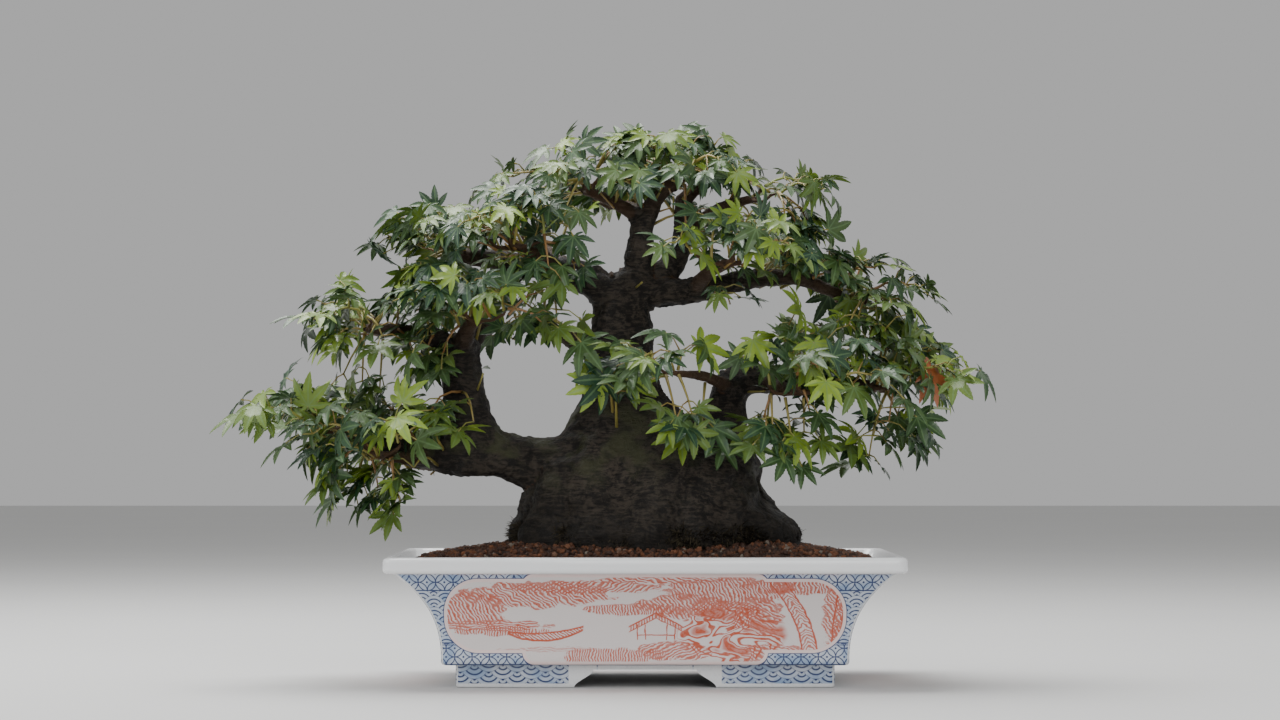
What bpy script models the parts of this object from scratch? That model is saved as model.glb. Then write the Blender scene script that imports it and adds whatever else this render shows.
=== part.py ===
"""A maple bonsai in a flared rectangular porcelain pot, as separate solids.

Run it with blender --background --python part.py, or from Blender's text editor. Sizes are in metres, +Z is up,
and the origin lies on the surface that the pot stands on, below the middle of the crown. The tree is planted off
the middle of its crown, so the pot stands a little to the right of the origin.

The pieces are the pot, a plastic screen and a wire staple at each of its two drain holes, the soil, the tree's
wood (trunk, limbs and twigs, which grew as one piece), and the leafy shoots that the twigs end in.
"""

import math
import random

import bmesh
import bpy
from mathutils import Matrix, Vector
from mathutils.bvhtree import BVHTree

# ---- Driving dimensions --------------------------------------------------------------------------------------

MM = 0.001
FIT_GAP = 0.3 * MM  # left between two pieces that touch

# The pot. Its half sizes are taken at the rim, and the rest lies inside them.
POT_PLACE = Vector((18 * MM, 0, 0))
RIM_LENGTH = 240 * MM
RIM_DEPTH = 172 * MM
POT_HEIGHT = 61 * MM
LIP_HEIGHT = 7.5 * MM
LIP_OVERHANG = 5 * MM  # the lip stands out this far from the wall below it
LIP_ROUNDING = 2.2 * MM
LIP_EASE = 0.8 * MM  # the rim's inner edge is eased off by this much
THROAT_EASE = 0.4 * MM  # and the corner under the lip by this much
BASE_EASE = 1.5 * MM  # and the lower edge of the flared wall by this much
BASE_INSET = 25.5 * MM  # from the rim to the foot of the flared wall
FLARE_POWER = 2.6  # 1 would be a straight wall; more bends the flare outwards near the rim
WALL = 5.5 * MM
FLOOR = 6 * MM
BODY_CORNER = 2.5 * MM
LIP_CORNER = 5 * MM
FOOT_HEIGHT = 10.5 * MM
FOOT_INSET = 6.5 * MM
FOOT_THICKNESS = 9 * MM
ARCH_HEIGHT = 8.2 * MM
ARCH_CORNER = 7 * MM
ARCH_CORNER_STEPS = 5
FRONT_ARCH = 66 * MM
SIDE_ARCH = 44 * MM

# Drainage, at each of two holes in the pot's floor.
DRAIN_SPACING = 104 * MM
DRAIN_RADIUS = 9 * MM
SCREEN_PITCH = 5 * MM
SCREEN_BAR = 1.3 * MM
SCREEN_CELLS = 5
SCREEN_THICKNESS = 1 * MM
STAPLE_RADIUS = 0.5 * MM
STAPLE_LEG_REACH = 9 * MM
STAPLE_SIDES = 8

# The soil, which the pot holds up to a little under its rim and which is heaped round the trunk.
SOIL_BELOW_RIM = 3.5 * MM
SOIL_HEAP = 13 * MM
SOIL_HEAP_POWER = 1.6  # 1 would be a straight slope; more makes a rounder heap
SOIL_HEAP_CORNER = 0.6  # of the soil's half depth, at the top of the heap
SOIL_RINGS = 6

# The tree's own heights are counted from a level this far under the rim, so it rises and sinks with the soil.
TREE_BELOW_RIM = 61 * MM
TREE_LEVEL = Vector((0, 0, POT_HEIGHT - TREE_BELOW_RIM))

# The trunk: one ring per row, as height, middle x, half width along x, and half depth as a share of that.
TRUNK_RINGS = (
    (50, 21, 54, 0.78),
    (62, 21, 66, 0.76),
    (70, 20, 68, 0.74),
    (78, 19, 64, 0.70),
    (88, 18, 60, 0.68),
    (100, 19, 55, 0.68),
    (112, 20, 49, 0.68),
    (121, 16, 37, 0.74),
    (128, 10.5, 25, 0.86),
    (136, 8.4, 19.5, 0.95),
    (147, 7, 17, 0.98),
    (162, 6, 15.2, 1.0),
    (177, 7.4, 14, 1.0),
    (188, 10, 13.5, 1.0),
    (197, 12, 9, 1.0),
)
TRUNK_SIDES = 20
ROOT_LOBES = 5
ROOT_LOBE_DEPTH = 0.12  # of the trunk's half width, at the bottom of the roots
ROOT_LOBE_PHASE = 1.2
ROOT_FADE = 118 * MM  # the roots' lobes have died out at this height on the tree

# Limbs, twigs and leafy shoots.
THICK_LIMB = 7 * MM
THICK_LIMB_SIDES = 8
THIN_LIMB_SIDES = 6
TWIG_BASE_RADIUS = 2.1 * MM
TWIG_TIP_RADIUS = 1.25 * MM
TWIG_SIDES = 5
TWIG_SAG = 3 * MM
TWIG_END = 4 * MM  # the straight stretch at a twig's tip
TWIG_ROOT = 2 * MM  # a twig starts this far inside its limb's tip
SHOOT_TURN = 137.5  # degrees from one shoot of a pad to the next, as a sunflower's seeds are set
PAD_TURN = 40  # degrees per letter of a pad's name, so that neighbouring pads start differently
SHOOT_OUTWARD = 0.8  # how strongly shoots lean away from the trunk
SHOOT_RISE = 0.35  # and upwards
PAIR_SPACING = 8 * MM  # between two pairs of leaves along a shoot
SHOOT_HALF_WIDTH = 0.8 * MM
SHOOT_SAG = 4.8  # drop per square of the length along the shoot
SHOOT_TAPER = 14  # share of its width that a shoot loses per metre
PAIR_SHRINK = 0.07  # each pair of leaves is this much smaller than the one before it
LEAF_LENGTH = 17 * MM  # from the petiole to the middle lobe's tip
LEAF_THICKNESS = 1.1 * MM
PETIOLE_LENGTH = 11 * MM
PETIOLE_HALF_WIDTH = 0.45 * MM
LOBE_ANGLES = (-112, -58, 0, 58, 112)
LOBE_LENGTHS = (0.55, 0.86, 1.0, 0.86, 0.55)
NOTCH_LENGTH = 0.36
TIP_DROOP = 0.22
HEART_REACH = 0.12  # the thickest point of a blade lies this share of its length beyond the petiole
PETIOLE_RISE = 0.35
FORWARD_LEAN = 0.7
LEAF_PITCH = (-12, 48)  # degrees below level
LEAF_TRIES = 14
LEAF_SWING = 28  # degrees to either side
LEAF_SIZES = (0.85, 1.1)  # shares of the leaf's length
PETIOLE_SIZES = (0.65, 1.25)  # shares of the petiole's length
LEAF_TRY_SHRINK = 0.025  # each try at a leaf is this much smaller than the one before it
PROBE_START = 0.15  # a leaf is tested for room from this share of its petiole outwards
PROBE_NARROWING = 0.5
STEEP_FACE = 0.7  # a leaf from a stem's upper or lower face steeper than this is turned to the side
STEEP_TURN = 1.2
STEM_TRIES = 28
STEMS_PER_LAP = 7  # tries at one steepness before the stem is raised
STEM_TURN = 20  # degrees
STEM_LIFT = 0.5
SEED = 11


class Limb:
    """A stretch of wood: a path of points in millimetres, thick at its first point and thin at its last."""

    def __init__(self, name, base_radius, tip_radius, path):
        self.name = name
        self.base_radius = base_radius * MM
        self.tip_radius = tip_radius * MM
        self.path = [TREE_LEVEL + Vector(point) * MM for point in path]


class Pad:
    """A layer of foliage: the limb that bears it, its middle and half sizes, its shoots and their leaf pairs."""

    def __init__(self, name, limb, middle, reach, shoots, pairs=3, rise=8):
        self.name = name
        self.limb = limb
        self.middle = TREE_LEVEL + Vector(middle) * MM
        self.reach = Vector((*reach, 0)) * MM
        self.shoots = shoots
        self.pairs = pairs
        self.rise = rise * MM


LIMBS = (
    Limb("left_limb", 17, 9, ((0, 0, 100), (-32, -3, 104), (-58, -5, 108), (-78, -6, 110))),
    Limb("left_low", 9.5, 3.2, ((-70, -6, 109), (-92, -8, 109), (-113, -10, 115), (-130, -13, 120))),
    Limb("left_front", 5, 2.6, ((-80, -8, 110), (-94, -24, 106), (-108, -36, 108))),
    Limb("left_back", 5.5, 2.6, ((-72, -2, 108), (-84, 18, 104), (-96, 34, 103))),
    Limb("left_stem", 12, 8.5, ((-58, -5, 106), (-66, -6, 126), (-70, -5, 148), (-70, -4, 162))),
    Limb("left_stem_out", 7, 3, ((-70, -5, 156), (-84, -8, 164), (-100, -9, 167), (-116, -10, 168))),
    Limb("left_stem_front", 6, 2.8, ((-70, -5, 158), (-66, -20, 168), (-60, -32, 172))),
    Limb("left_stem_back", 6, 2.8, ((-70, -2, 158), (-62, 16, 168), (-52, 34, 172))),
    Limb("trunk_left_low", 6.5, 3, ((4, -4, 158), (-14, -8, 161), (-26, -12, 168), (-34, -16, 178))),
    Limb("left_leader", 10, 3, ((8, 0, 180), (-8, -2, 192), (-34, -4, 198), (-58, -4, 202), (-78, -2, 204))),
    Limb("left_leader_front", 5, 2.6, ((-20, -3, 195), (-32, -20, 203), (-44, -34, 206))),
    Limb("left_leader_back", 5, 2.6, ((-16, 0, 195), (-28, 22, 206), (-36, 40, 212))),
    Limb("middle_leader", 8.5, 3, ((12, 0, 186), (15, -3, 205), (17, -5, 218), (24, -6, 232), (34, -8, 239))),
    Limb("apex_left", 4.5, 2.6, ((18, -5, 220), (4, -4, 229), (-12, -4, 235))),
    Limb("apex_back", 4.5, 2.6, ((18, -3, 218), (14, 16, 227), (8, 34, 231))),
    Limb("right_leader", 7.5, 3, ((14, 2, 184), (32, 4, 200), (37, 4, 219), (36, 5, 230), (46, 7, 238))),
    Limb("right_leader_out", 4.5, 2.6, ((37, 4, 214), (54, 8, 227), (70, 12, 232))),
    Limb("right_limb", 8, 4, ((8, 0, 184), (28, -3, 185), (50, -5, 188), (72, -6, 193), (98, -7, 192))),
    Limb("right_limb_front", 4.5, 2.6, ((40, -5, 187), (50, -24, 196), (58, -38, 198))),
    Limb("right_limb_back", 5, 2.6, ((56, -3, 190), (66, 18, 192), (74, 36, 192))),
    Limb("right_limb_tip", 4.2, 2.4, ((94, -7, 192), (108, 2, 186), (122, 8, 180))),
    Limb("right_stem", 13, 9, ((44, -2, 98), (55, -3, 118), (58, -4, 134), (62, -4, 145))),
    Limb("right_low", 8, 3.4, ((58, -4, 142), (78, -6, 144), (100, -8, 143), (116, -8, 141), (129, -8, 140))),
    Limb("right_low_front", 5, 2.6, ((72, -6, 143), (82, -24, 140), (92, -40, 137))),
    Limb("right_low_back", 5, 2.6, ((66, -2, 143), (80, 18, 146), (92, 36, 146))),
    Limb("right_low_inner", 4, 2.4, ((60, -8, 140), (46, -26, 145), (32, -42, 146))),
)

PADS = (
    Pad("left_low_tip", "left_low", (-138, -14, 122), (14, 24), 3, rise=6),
    Pad("left_low_front", "left_front", (-110, -40, 112), (20, 14), 3),
    Pad("left_low_back", "left_back", (-100, 40, 107), (20, 16), 2, 2),
    Pad("left_mid_tip", "left_stem_out", (-112, -10, 170), (14, 22), 3),
    Pad("left_mid_front", "left_stem_front", (-62, -38, 174), (22, 14), 3),
    Pad("left_mid_back", "left_stem_back", (-54, 42, 174), (22, 16), 2, 2),
    Pad("left_inner", "trunk_left_low", (-34, -18, 182), (12, 10), 1, 2),
    Pad("left_high_tip", "left_leader", (-78, 2, 208), (14, 24), 3),
    Pad("left_high_front", "left_leader_front", (-44, -40, 210), (20, 14), 3),
    Pad("left_high_back", "left_leader_back", (-38, 48, 216), (20, 14), 2, 2),
    Pad("apex_left", "apex_left", (-14, -6, 239), (20, 18), 3),
    Pad("apex_back", "apex_back", (6, 42, 233), (22, 12), 2, 2),
    Pad("apex", "middle_leader", (34, -10, 242), (18, 20), 3),
    Pad("apex_right", "right_leader_out", (72, 12, 233), (16, 20), 3),
    Pad("right_high_front", "right_limb_front", (60, -44, 202), (22, 12), 3),
    Pad("right_high_back", "right_limb_back", (78, 44, 196), (20, 14), 2, 2),
    Pad("right_high_tip", "right_limb_tip", (118, 4, 184), (16, 24), 3),
    Pad("right_low_inner", "right_low_inner", (26, -46, 150), (14, 8), 1, 2),
    Pad("right_low_front", "right_low_front", (94, -46, 140), (22, 14), 3),
    Pad("right_low_back", "right_low_back", (96, 44, 148), (22, 14), 2, 2),
    Pad("right_low_tip", "right_low", (136, -8, 142), (14, 26), 3, rise=6),
)

# ---- Finishes ------------------------------------------------------------------------------------------------


def finish(name, colour, roughness, metallic=0.0):
    """A plain material of one colour."""
    material = bpy.data.materials.new(name)
    material.use_nodes = True
    shader = material.node_tree.nodes["Principled BSDF"]
    shader.inputs["Base Color"].default_value = (*colour, 1)
    shader.inputs["Roughness"].default_value = roughness
    shader.inputs["Metallic"].default_value = metallic
    return material


# ---- Shapes --------------------------------------------------------------------------------------------------


def new_object(name, bm, material=None, smooth_angle=40):
    """The object of this name that holds the bmesh's faces, with their normals facing out."""
    bmesh.ops.recalc_face_normals(bm, faces=bm.faces)
    mesh = bpy.data.meshes.new(name)
    bm.to_mesh(mesh)
    bm.free()
    mesh.shade_smooth()
    mesh.set_sharp_from_angle(angle=math.radians(smooth_angle))
    obj = bpy.data.objects.new(name, mesh)
    bpy.context.scene.collection.objects.link(obj)
    if material:
        mesh.materials.append(material)
    return obj


def as_helper(obj):
    """Marks an object that only cuts or joins another, and isn't a piece."""
    obj.hide_render = True
    obj.display_type = "WIRE"
    return obj


def boolean(obj, operation, other):
    """Cuts another object from obj, or joins a collection of them to it."""
    modifier = obj.modifiers.new(other.name, "BOOLEAN")
    modifier.operation = operation
    modifier.solver = "EXACT"
    if isinstance(other, bpy.types.Collection):
        modifier.operand_type = "COLLECTION"
        modifier.collection = other
    else:
        modifier.object = other


def rounded_rectangle(half_x, half_y, corner, z, corner_steps=3):
    """The points of a level rounded rectangle round the pot's axis, anticlockwise from above."""
    corner = min(corner, half_x, half_y)
    points = []
    for quadrant in range(4):
        sign_x, sign_y = ((1, 1), (-1, 1), (-1, -1), (1, -1))[quadrant]
        middle = Vector((sign_x * (half_x - corner), sign_y * (half_y - corner), z))
        for step in range(corner_steps + 1):
            turn = math.radians(90 * (quadrant + step / corner_steps))
            points.append(POT_PLACE + middle + corner * Vector((math.cos(turn), math.sin(turn), 0)))
    return points


def loft(bm, rings):
    """A closed skin through rings of equally many points, with a flat cap on the first and the last."""
    loops = [[bm.verts.new(point) for point in ring] for ring in rings]
    for lower, upper in zip(loops, loops[1:]):
        for i in range(len(lower)):
            j = (i + 1) % len(lower)
            bm.faces.new((lower[i], lower[j], upper[j], upper[i]))
    bm.faces.new(reversed(loops[0]))
    bm.faces.new(loops[-1])
    return loops


def tube(bm, points, radii, sides):
    """A round bar along a path, whose cross-section keeps its twist, with closed ends."""
    rings = []
    side = None
    for i, point in enumerate(points):
        ahead = points[min(i + 1, len(points) - 1)] - points[max(i - 1, 0)]
        if side is None:
            side = ahead.orthogonal().normalized()
        side = (side - side.project(ahead)).normalized()
        other = ahead.normalized().cross(side)
        turns = [math.tau * k / sides for k in range(sides)]
        rings.append([point + radii[i] * (math.cos(t) * side + math.sin(t) * other) for t in turns])
    loft(bm, rings)


def box(name, low, high):
    """A helper block between two corners."""
    bm = bmesh.new()
    corners = [Vector((x, y, 0)) for x, y in ((low.x, low.y), (high.x, low.y), (high.x, high.y), (low.x, high.y))]
    loft(bm, [[corner + Vector((0, 0, z)) for corner in corners] for z in (low.z, high.z)])
    return as_helper(new_object(name, bm))


def cylinder(name, middle, radius, height, sides=28):
    """A helper cylinder that stands on the given point."""
    bm = bmesh.new()
    tube(bm, [middle, middle + Vector((0, 0, height))], [radius, radius], sides)
    return as_helper(new_object(name, bm))


def smooth_path(points, steps):
    """A Catmull-Rom curve through the points, with this many steps between two of them."""
    ends = [2 * points[0] - points[1], *points, 2 * points[-1] - points[-2]]
    path = []
    for before, a, b, after in zip(ends, ends[1:], ends[2:], ends[3:]):
        for step in range(steps):
            t = step / steps
            path.append(
                0.5
                * (
                    2 * a
                    + (b - before) * t
                    + (2 * before - 5 * a + 4 * b - after) * t**2
                    + (3 * a - before - 3 * b + after) * t**3
                )
            )
    return [*path, points[-1]]


# ---- The pot -------------------------------------------------------------------------------------------------


def wall_inset(z):
    """How far inside the rim the outer face of the flared wall lies at a height."""
    top = POT_HEIGHT - LIP_HEIGHT
    share = max(0.0, min(1.0, (z - FOOT_HEIGHT) / (top - FOOT_HEIGHT)))
    return BASE_INSET + (LIP_OVERHANG - BASE_INSET) * share**FLARE_POWER


def pot_ring(inset, z, corner):
    """A level ring of the pot, this far inside its rim."""
    return rounded_rectangle(RIM_LENGTH / 2 - inset, RIM_DEPTH / 2 - inset, corner, z)


def inner_ring(z, gap=0.0):
    """A level ring of the pot's inside, or of something that keeps a gap to it."""
    return pot_ring(wall_inset(z) + WALL + gap, z, BODY_CORNER)


def wall_heights(low, high, steps=7):
    """Evenly spaced heights from low to high."""
    return [low + (high - low) * step / steps for step in range(steps + 1)]


def make_pot(material):
    """The fired porcelain body: floor, flared walls, rolled lip and a foot frame with an arch in each side."""
    throat = POT_HEIGHT - LIP_HEIGHT
    floor_top = FOOT_HEIGHT + FLOOR
    rings = [pot_ring(BASE_INSET + BASE_EASE, FOOT_HEIGHT, BODY_CORNER)]
    rings += [pot_ring(wall_inset(z), z, BODY_CORNER) for z in wall_heights(FOOT_HEIGHT + BASE_EASE, throat)]
    rings.append(pot_ring(LIP_OVERHANG / 2, throat + THROAT_EASE, LIP_CORNER))
    for turn in (-60, 0, 60, 90):
        angle = math.radians(turn)
        reach = LIP_ROUNDING * (1 - math.cos(angle))
        middle = throat + LIP_ROUNDING if turn < 0 else POT_HEIGHT - LIP_ROUNDING
        rings.append(pot_ring(reach, middle + LIP_ROUNDING * math.sin(angle), LIP_CORNER))
    rings.append(pot_ring(WALL, POT_HEIGHT - LIP_EASE, LIP_CORNER))
    rings += [inner_ring(z) for z in reversed(wall_heights(floor_top, throat))]
    bm = bmesh.new()
    loft(bm, rings)
    pot = new_object("pot", bm, material, smooth_angle=50)
    joined = bpy.data.collections.new("pot_foot")
    bpy.context.scene.collection.children.link(joined)
    foot = make_foot_frame()
    bpy.context.scene.collection.objects.unlink(foot)
    joined.objects.link(foot)
    boolean(pot, "UNION", joined)
    for side in (-1, 1):
        middle = POT_PLACE + Vector((side * DRAIN_SPACING / 2, 0, FOOT_HEIGHT - FLOOR))
        boolean(pot, "DIFFERENCE", cylinder(f"drain_cutter_{side}", middle, DRAIN_RADIUS, 3 * FLOOR))
    return pot


def make_foot_frame():
    """The frame that the pot stands on, set in under its walls, with an arch cut through each side."""
    inset = BASE_INSET + FOOT_INSET
    outer, inner = (
        [pot_ring(inset + depth, z, BODY_CORNER) for z in (0, FOOT_HEIGHT + FLOOR / 2)]
        for depth in (0, FOOT_THICKNESS)
    )
    bm = bmesh.new()
    walls = [[bm.verts.new(point) for point in ring] for ring in (*outer, *reversed(inner))]
    for lower, upper in zip(walls, [*walls[1:], walls[0]]):
        for i in range(len(lower)):
            j = (i + 1) % len(lower)
            bm.faces.new((lower[i], lower[j], upper[j], upper[i]))
    foot = as_helper(new_object("foot_frame", bm))
    boolean(foot, "DIFFERENCE", arch_cutter("front_arch", FRONT_ARCH, Vector((0, RIM_DEPTH, 0))))
    boolean(foot, "DIFFERENCE", arch_cutter("side_arch", SIDE_ARCH, Vector((RIM_LENGTH, 0, 0))))
    return foot


def arch_cutter(name, width, along):
    """A bar with a round-cornered top, laid through the pot's foot from one side to the other."""
    across = Vector((along.y, along.x, 0)).normalized()
    outline = [(-width / 2, -ARCH_HEIGHT), (width / 2, -ARCH_HEIGHT)]
    for quadrant in (0, 1):
        for step in range(ARCH_CORNER_STEPS + 1):
            turn = math.radians(90 * (quadrant + step / ARCH_CORNER_STEPS))
            corner_x = (width / 2 - ARCH_CORNER) * (1 - 2 * quadrant)
            outline.append(
                (corner_x + ARCH_CORNER * math.cos(turn), ARCH_HEIGHT - ARCH_CORNER * (1 - math.sin(turn)))
            )
    bm = bmesh.new()
    ends = []
    for side in (-0.5, 0.5):
        place = POT_PLACE + side * along
        ends.append([place + across * x + Vector((0, 0, z)) for x, z in outline])
    loft(bm, ends)
    return as_helper(new_object(name, bm))


# ---- Drainage ------------------------------------------------------------------------------------------------


def drain_place(side):
    """The middle of a drain hole on top of the pot's floor."""
    return POT_PLACE + Vector((side * DRAIN_SPACING / 2, 0, FOOT_HEIGHT + FLOOR))


def screen_half_width():
    """Half a screen's width, over its outermost bars."""
    return (SCREEN_CELLS * SCREEN_PITCH + SCREEN_BAR) / 2


def make_screen(name, side, material):
    """A square of plastic mesh over a drain hole: a grid of bars with open cells."""
    lines = []
    for cell in range(SCREEN_CELLS + 1):
        middle = (cell - SCREEN_CELLS / 2) * SCREEN_PITCH
        lines += [middle - SCREEN_BAR / 2, middle + SCREEN_BAR / 2]
    place = drain_place(side) + Vector((0, 0, FIT_GAP))
    bm = bmesh.new()
    grid = [[bm.verts.new(place + Vector((x, y, 0))) for x in lines] for y in lines]
    for row in range(len(lines) - 1):
        for column in range(len(lines) - 1):
            if row % 2 and column % 2:
                continue
            corners = (grid[row][column], grid[row][column + 1], grid[row + 1][column + 1], grid[row + 1][column])
            bm.faces.new(corners)
    raised = bmesh.ops.extrude_face_region(bm, geom=list(bm.faces))
    moved = [v for v in raised["geom"] if isinstance(v, bmesh.types.BMVert)]
    bmesh.ops.translate(bm, verts=moved, vec=(0, 0, SCREEN_THICKNESS))
    return new_object(name, bm, material)


def make_staple(name, side, material):
    """The wire that holds a screen: over two of its cells, down through the hole and out under the pot."""
    leg = SCREEN_PITCH
    top = FIT_GAP + SCREEN_THICKNESS + FIT_GAP + STAPLE_RADIUS
    under = -FLOOR - FIT_GAP - STAPLE_RADIUS
    bend = 2 * STAPLE_RADIUS
    half = [(0, top), (leg - bend, top), (leg, top - bend), (leg, under + bend), (leg + bend, under)]
    half.append((leg + STAPLE_LEG_REACH, under))
    outline = [(-x, z) for x, z in reversed(half[1:])] + half
    points = [drain_place(side) + Vector((0, x, z)) for x, z in outline]
    bm = bmesh.new()
    tube(bm, points, [STAPLE_RADIUS] * len(points), STAPLE_SIDES)
    return new_object(name, bm, material)


# ---- The soil ------------------------------------------------------------------------------------------------


def make_soil(material):
    """The soil: it fills the pot to under its rim, rises in a heap, and has a pit where the tree's foot sits."""
    edge = POT_HEIGHT - SOIL_BELOW_RIM
    floor_top = FOOT_HEIGHT + FLOOR + FIT_GAP
    rings = [inner_ring(z, FIT_GAP) for z in wall_heights(floor_top, edge)]
    edge_inset = wall_inset(edge) + WALL + FIT_GAP
    half_x, half_y = RIM_LENGTH / 2 - edge_inset, RIM_DEPTH / 2 - edge_inset
    for step in range(1, SOIL_RINGS):
        share = 1 - step / SOIL_RINGS
        lift = SOIL_HEAP * (1 - share**SOIL_HEAP_POWER)
        corner = BODY_CORNER + (1 - share) * SOIL_HEAP_CORNER * half_y
        rings.append(rounded_rectangle(half_x * share, half_y * share, corner * share, edge + lift))
    bm = bmesh.new()
    loft(bm, rings)
    soil = new_object("soil", bm, material)
    boolean(soil, "DIFFERENCE", as_helper(make_trunk("root_pit", FIT_GAP)))
    reach = screen_half_width() + FIT_GAP
    depth = 4 * FIT_GAP + SCREEN_THICKNESS + 2 * STAPLE_RADIUS
    for side in (-1, 1):
        place = drain_place(side)
        low = place + Vector((-reach, -reach, -FLOOR / 2))
        high = place + Vector((reach, reach, depth))
        boolean(soil, "DIFFERENCE", box(f"screen_pocket_{side}", low, high))
    return soil


# ---- The tree ------------------------------------------------------------------------------------------------


def make_trunk(name, growth=0.0, material=None):
    """The trunk from its root flare in the soil to where its leaders part, or a copy that is larger all round."""
    rings = []
    lowest, highest = TRUNK_RINGS[0][0] * MM, TRUNK_RINGS[-1][0] * MM
    for height, middle, half, depth_share in TRUNK_RINGS:
        z = height * MM
        lobe = ROOT_LOBE_DEPTH * max(0.0, 1 - z / ROOT_FADE)
        z += growth * (1 if z == highest else -1 if z == lowest else 0)
        ring = []
        for k in range(TRUNK_SIDES):
            turn = math.tau * k / TRUNK_SIDES
            swell = 1 + lobe * math.sin(ROOT_LOBES * turn + ROOT_LOBE_PHASE)
            reach_x = half * MM * swell + growth
            reach_y = half * MM * depth_share * swell + growth
            point = Vector((middle * MM + reach_x * math.cos(turn), reach_y * math.sin(turn), z))
            ring.append(TREE_LEVEL + point)
        rings.append(ring)
    bm = bmesh.new()
    loft(bm, rings)
    bmesh.ops.triangulate(bm, faces=bm.faces, quad_method="FIXED")
    return new_object(name, bm, material)


def limb_helper(limb):
    """A limb as a tapering bar along its smoothed path."""
    path = smooth_path(limb.path, 2 if limb.base_radius > THICK_LIMB else 1)
    last = len(path) - 1
    radii = [limb.base_radius + (limb.tip_radius - limb.base_radius) * i / last for i in range(last + 1)]
    bm = bmesh.new()
    tube(bm, path, radii, THICK_LIMB_SIDES if limb.base_radius > THICK_LIMB else THIN_LIMB_SIDES)
    return as_helper(new_object(limb.name, bm))


def shoot_places(pad):
    """Where a pad's shoots start and which way they grow: spread over the pad as a sunflower's seeds are."""
    places = []
    for i in range(pad.shoots):
        share = math.sqrt((i + 0.5) / pad.shoots)
        turn = math.radians(SHOOT_TURN * i + PAD_TURN * len(pad.name))
        outward = Vector((math.cos(turn), math.sin(turn), 0))
        spread = Vector((pad.reach.x * outward.x, pad.reach.y * outward.y, 0)) * share
        place = pad.middle + spread + Vector((0, 0, pad.rise * (1 - share)))
        from_trunk = Vector((pad.middle.x - POT_PLACE.x, pad.middle.y, 0)).normalized()
        heading = (outward * share + SHOOT_OUTWARD * from_trunk + Vector((0, 0, SHOOT_RISE))).normalized()
        places.append((place, heading))
    return places


def twig_helper(name, start, end, heading):
    """A thin twig from a limb's tip to where a leafy shoot starts, leaving it in the shoot's direction."""
    middle = (start + end) / 2 - Vector((0, 0, TWIG_SAG))
    before_end = end - heading * TWIG_END
    path = [start, middle, before_end, end]
    last = len(path) - 1
    radii = [TWIG_BASE_RADIUS + (TWIG_TIP_RADIUS - TWIG_BASE_RADIUS) * i / last for i in range(last + 1)]
    bm = bmesh.new()
    tube(bm, path, radii, TWIG_SIDES)
    return as_helper(new_object(name, bm))


def make_wood(material):
    """The trunk, with every limb and twig grown onto it as one piece."""
    wood = make_trunk("trunk_and_branches", 0.0, material)
    grown = bpy.data.collections.new("limbs_and_twigs")
    bpy.context.scene.collection.children.link(grown)
    limbs = {limb.name: limb for limb in LIMBS}
    helpers = [limb_helper(limb) for limb in LIMBS]
    for pad in PADS:
        tip = limbs[pad.limb].path[-1]
        inside = tip + (limbs[pad.limb].path[-2] - tip).normalized() * TWIG_ROOT
        for i, (place, heading) in enumerate(shoot_places(pad), 1):
            helpers.append(twig_helper(f"twig_{pad.name}_{i}", inside, place, heading))
    for helper in helpers:
        bpy.context.scene.collection.objects.unlink(helper)
        grown.objects.link(helper)
    boolean(wood, "UNION", grown)
    return wood


# ---- Leafy shoots --------------------------------------------------------------------------------------------

QUAD = ((1, 1), (-1, 1), (-1, -1), (1, -1))  # the corners of a square bar, as steps sideways and up


def blade_outline(size):
    """A blade's lobe tips and the notches between them, on a level blade whose petiole joins it at the origin.

    The middle lobe points along +X, and every tip droops.
    """
    outline = []
    for i, (angle, length) in enumerate(zip(LOBE_ANGLES, LOBE_LENGTHS)):
        if i:
            between = math.radians((angle + LOBE_ANGLES[i - 1]) / 2)
            outline.append(NOTCH_LENGTH * size * Vector((math.cos(between), math.sin(between), 0)))
        turn = math.radians(angle)
        outline.append(length * size * Vector((math.cos(turn), math.sin(turn), -TIP_DROOP)))
    return outline


def leaf_points(root, out, pitch, petiole, size):
    """A leaf's points: the petiole's four end corners, the blade's outline, then its upper and lower heart."""
    end = root + (out + Vector((0, 0, PETIOLE_RISE))).normalized() * petiole
    level = Vector((out.x, out.y, 0)).normalized()
    along = (level - Vector((0, 0, math.tan(pitch)))).normalized()
    side = Vector((0, 0, 1)).cross(level)
    up = along.cross(side)
    frame = Matrix((along, side, up)).transposed()
    ring = [end + PETIOLE_HALF_WIDTH * (s * side + u * up) for s, u in QUAD]
    heart = end + along * HEART_REACH * size
    hearts = [heart + sign * up * LEAF_THICKNESS / 2 for sign in (1, -1)]
    return [*ring, *(end + frame @ point for point in blade_outline(size)), *hearts]


def leaf_faces(turn):
    """A leaf's triangles, as indices of its stem's four corners (0 to 3) and then of its own points.

    The stem's corners are joined to the petiole's end turned by this many quarter turns.
    """
    points = 4 + 4 + 2 * len(LOBE_ANGLES) - 1
    first, last, top, bottom = 8, points - 1, points, points + 1
    faces = []
    for i in range(4):
        near, far = (i, (i + 1) % 4), (4 + (i + turn) % 4, 4 + (i + 1 + turn) % 4)
        faces += [(near[0], near[1], far[1]), (near[0], far[1], far[0])]
    faces += [(top, last, 4), (top, 4, 5), (top, 5, first), (last, 7, 4)]
    faces += [(bottom, 7, last), (bottom, 6, 7), (bottom, first, 6), (first, 5, 6)]
    for i in range(first, last):
        faces += [(top, i, i + 1), (bottom, i + 1, i)]
    return faces


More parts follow.
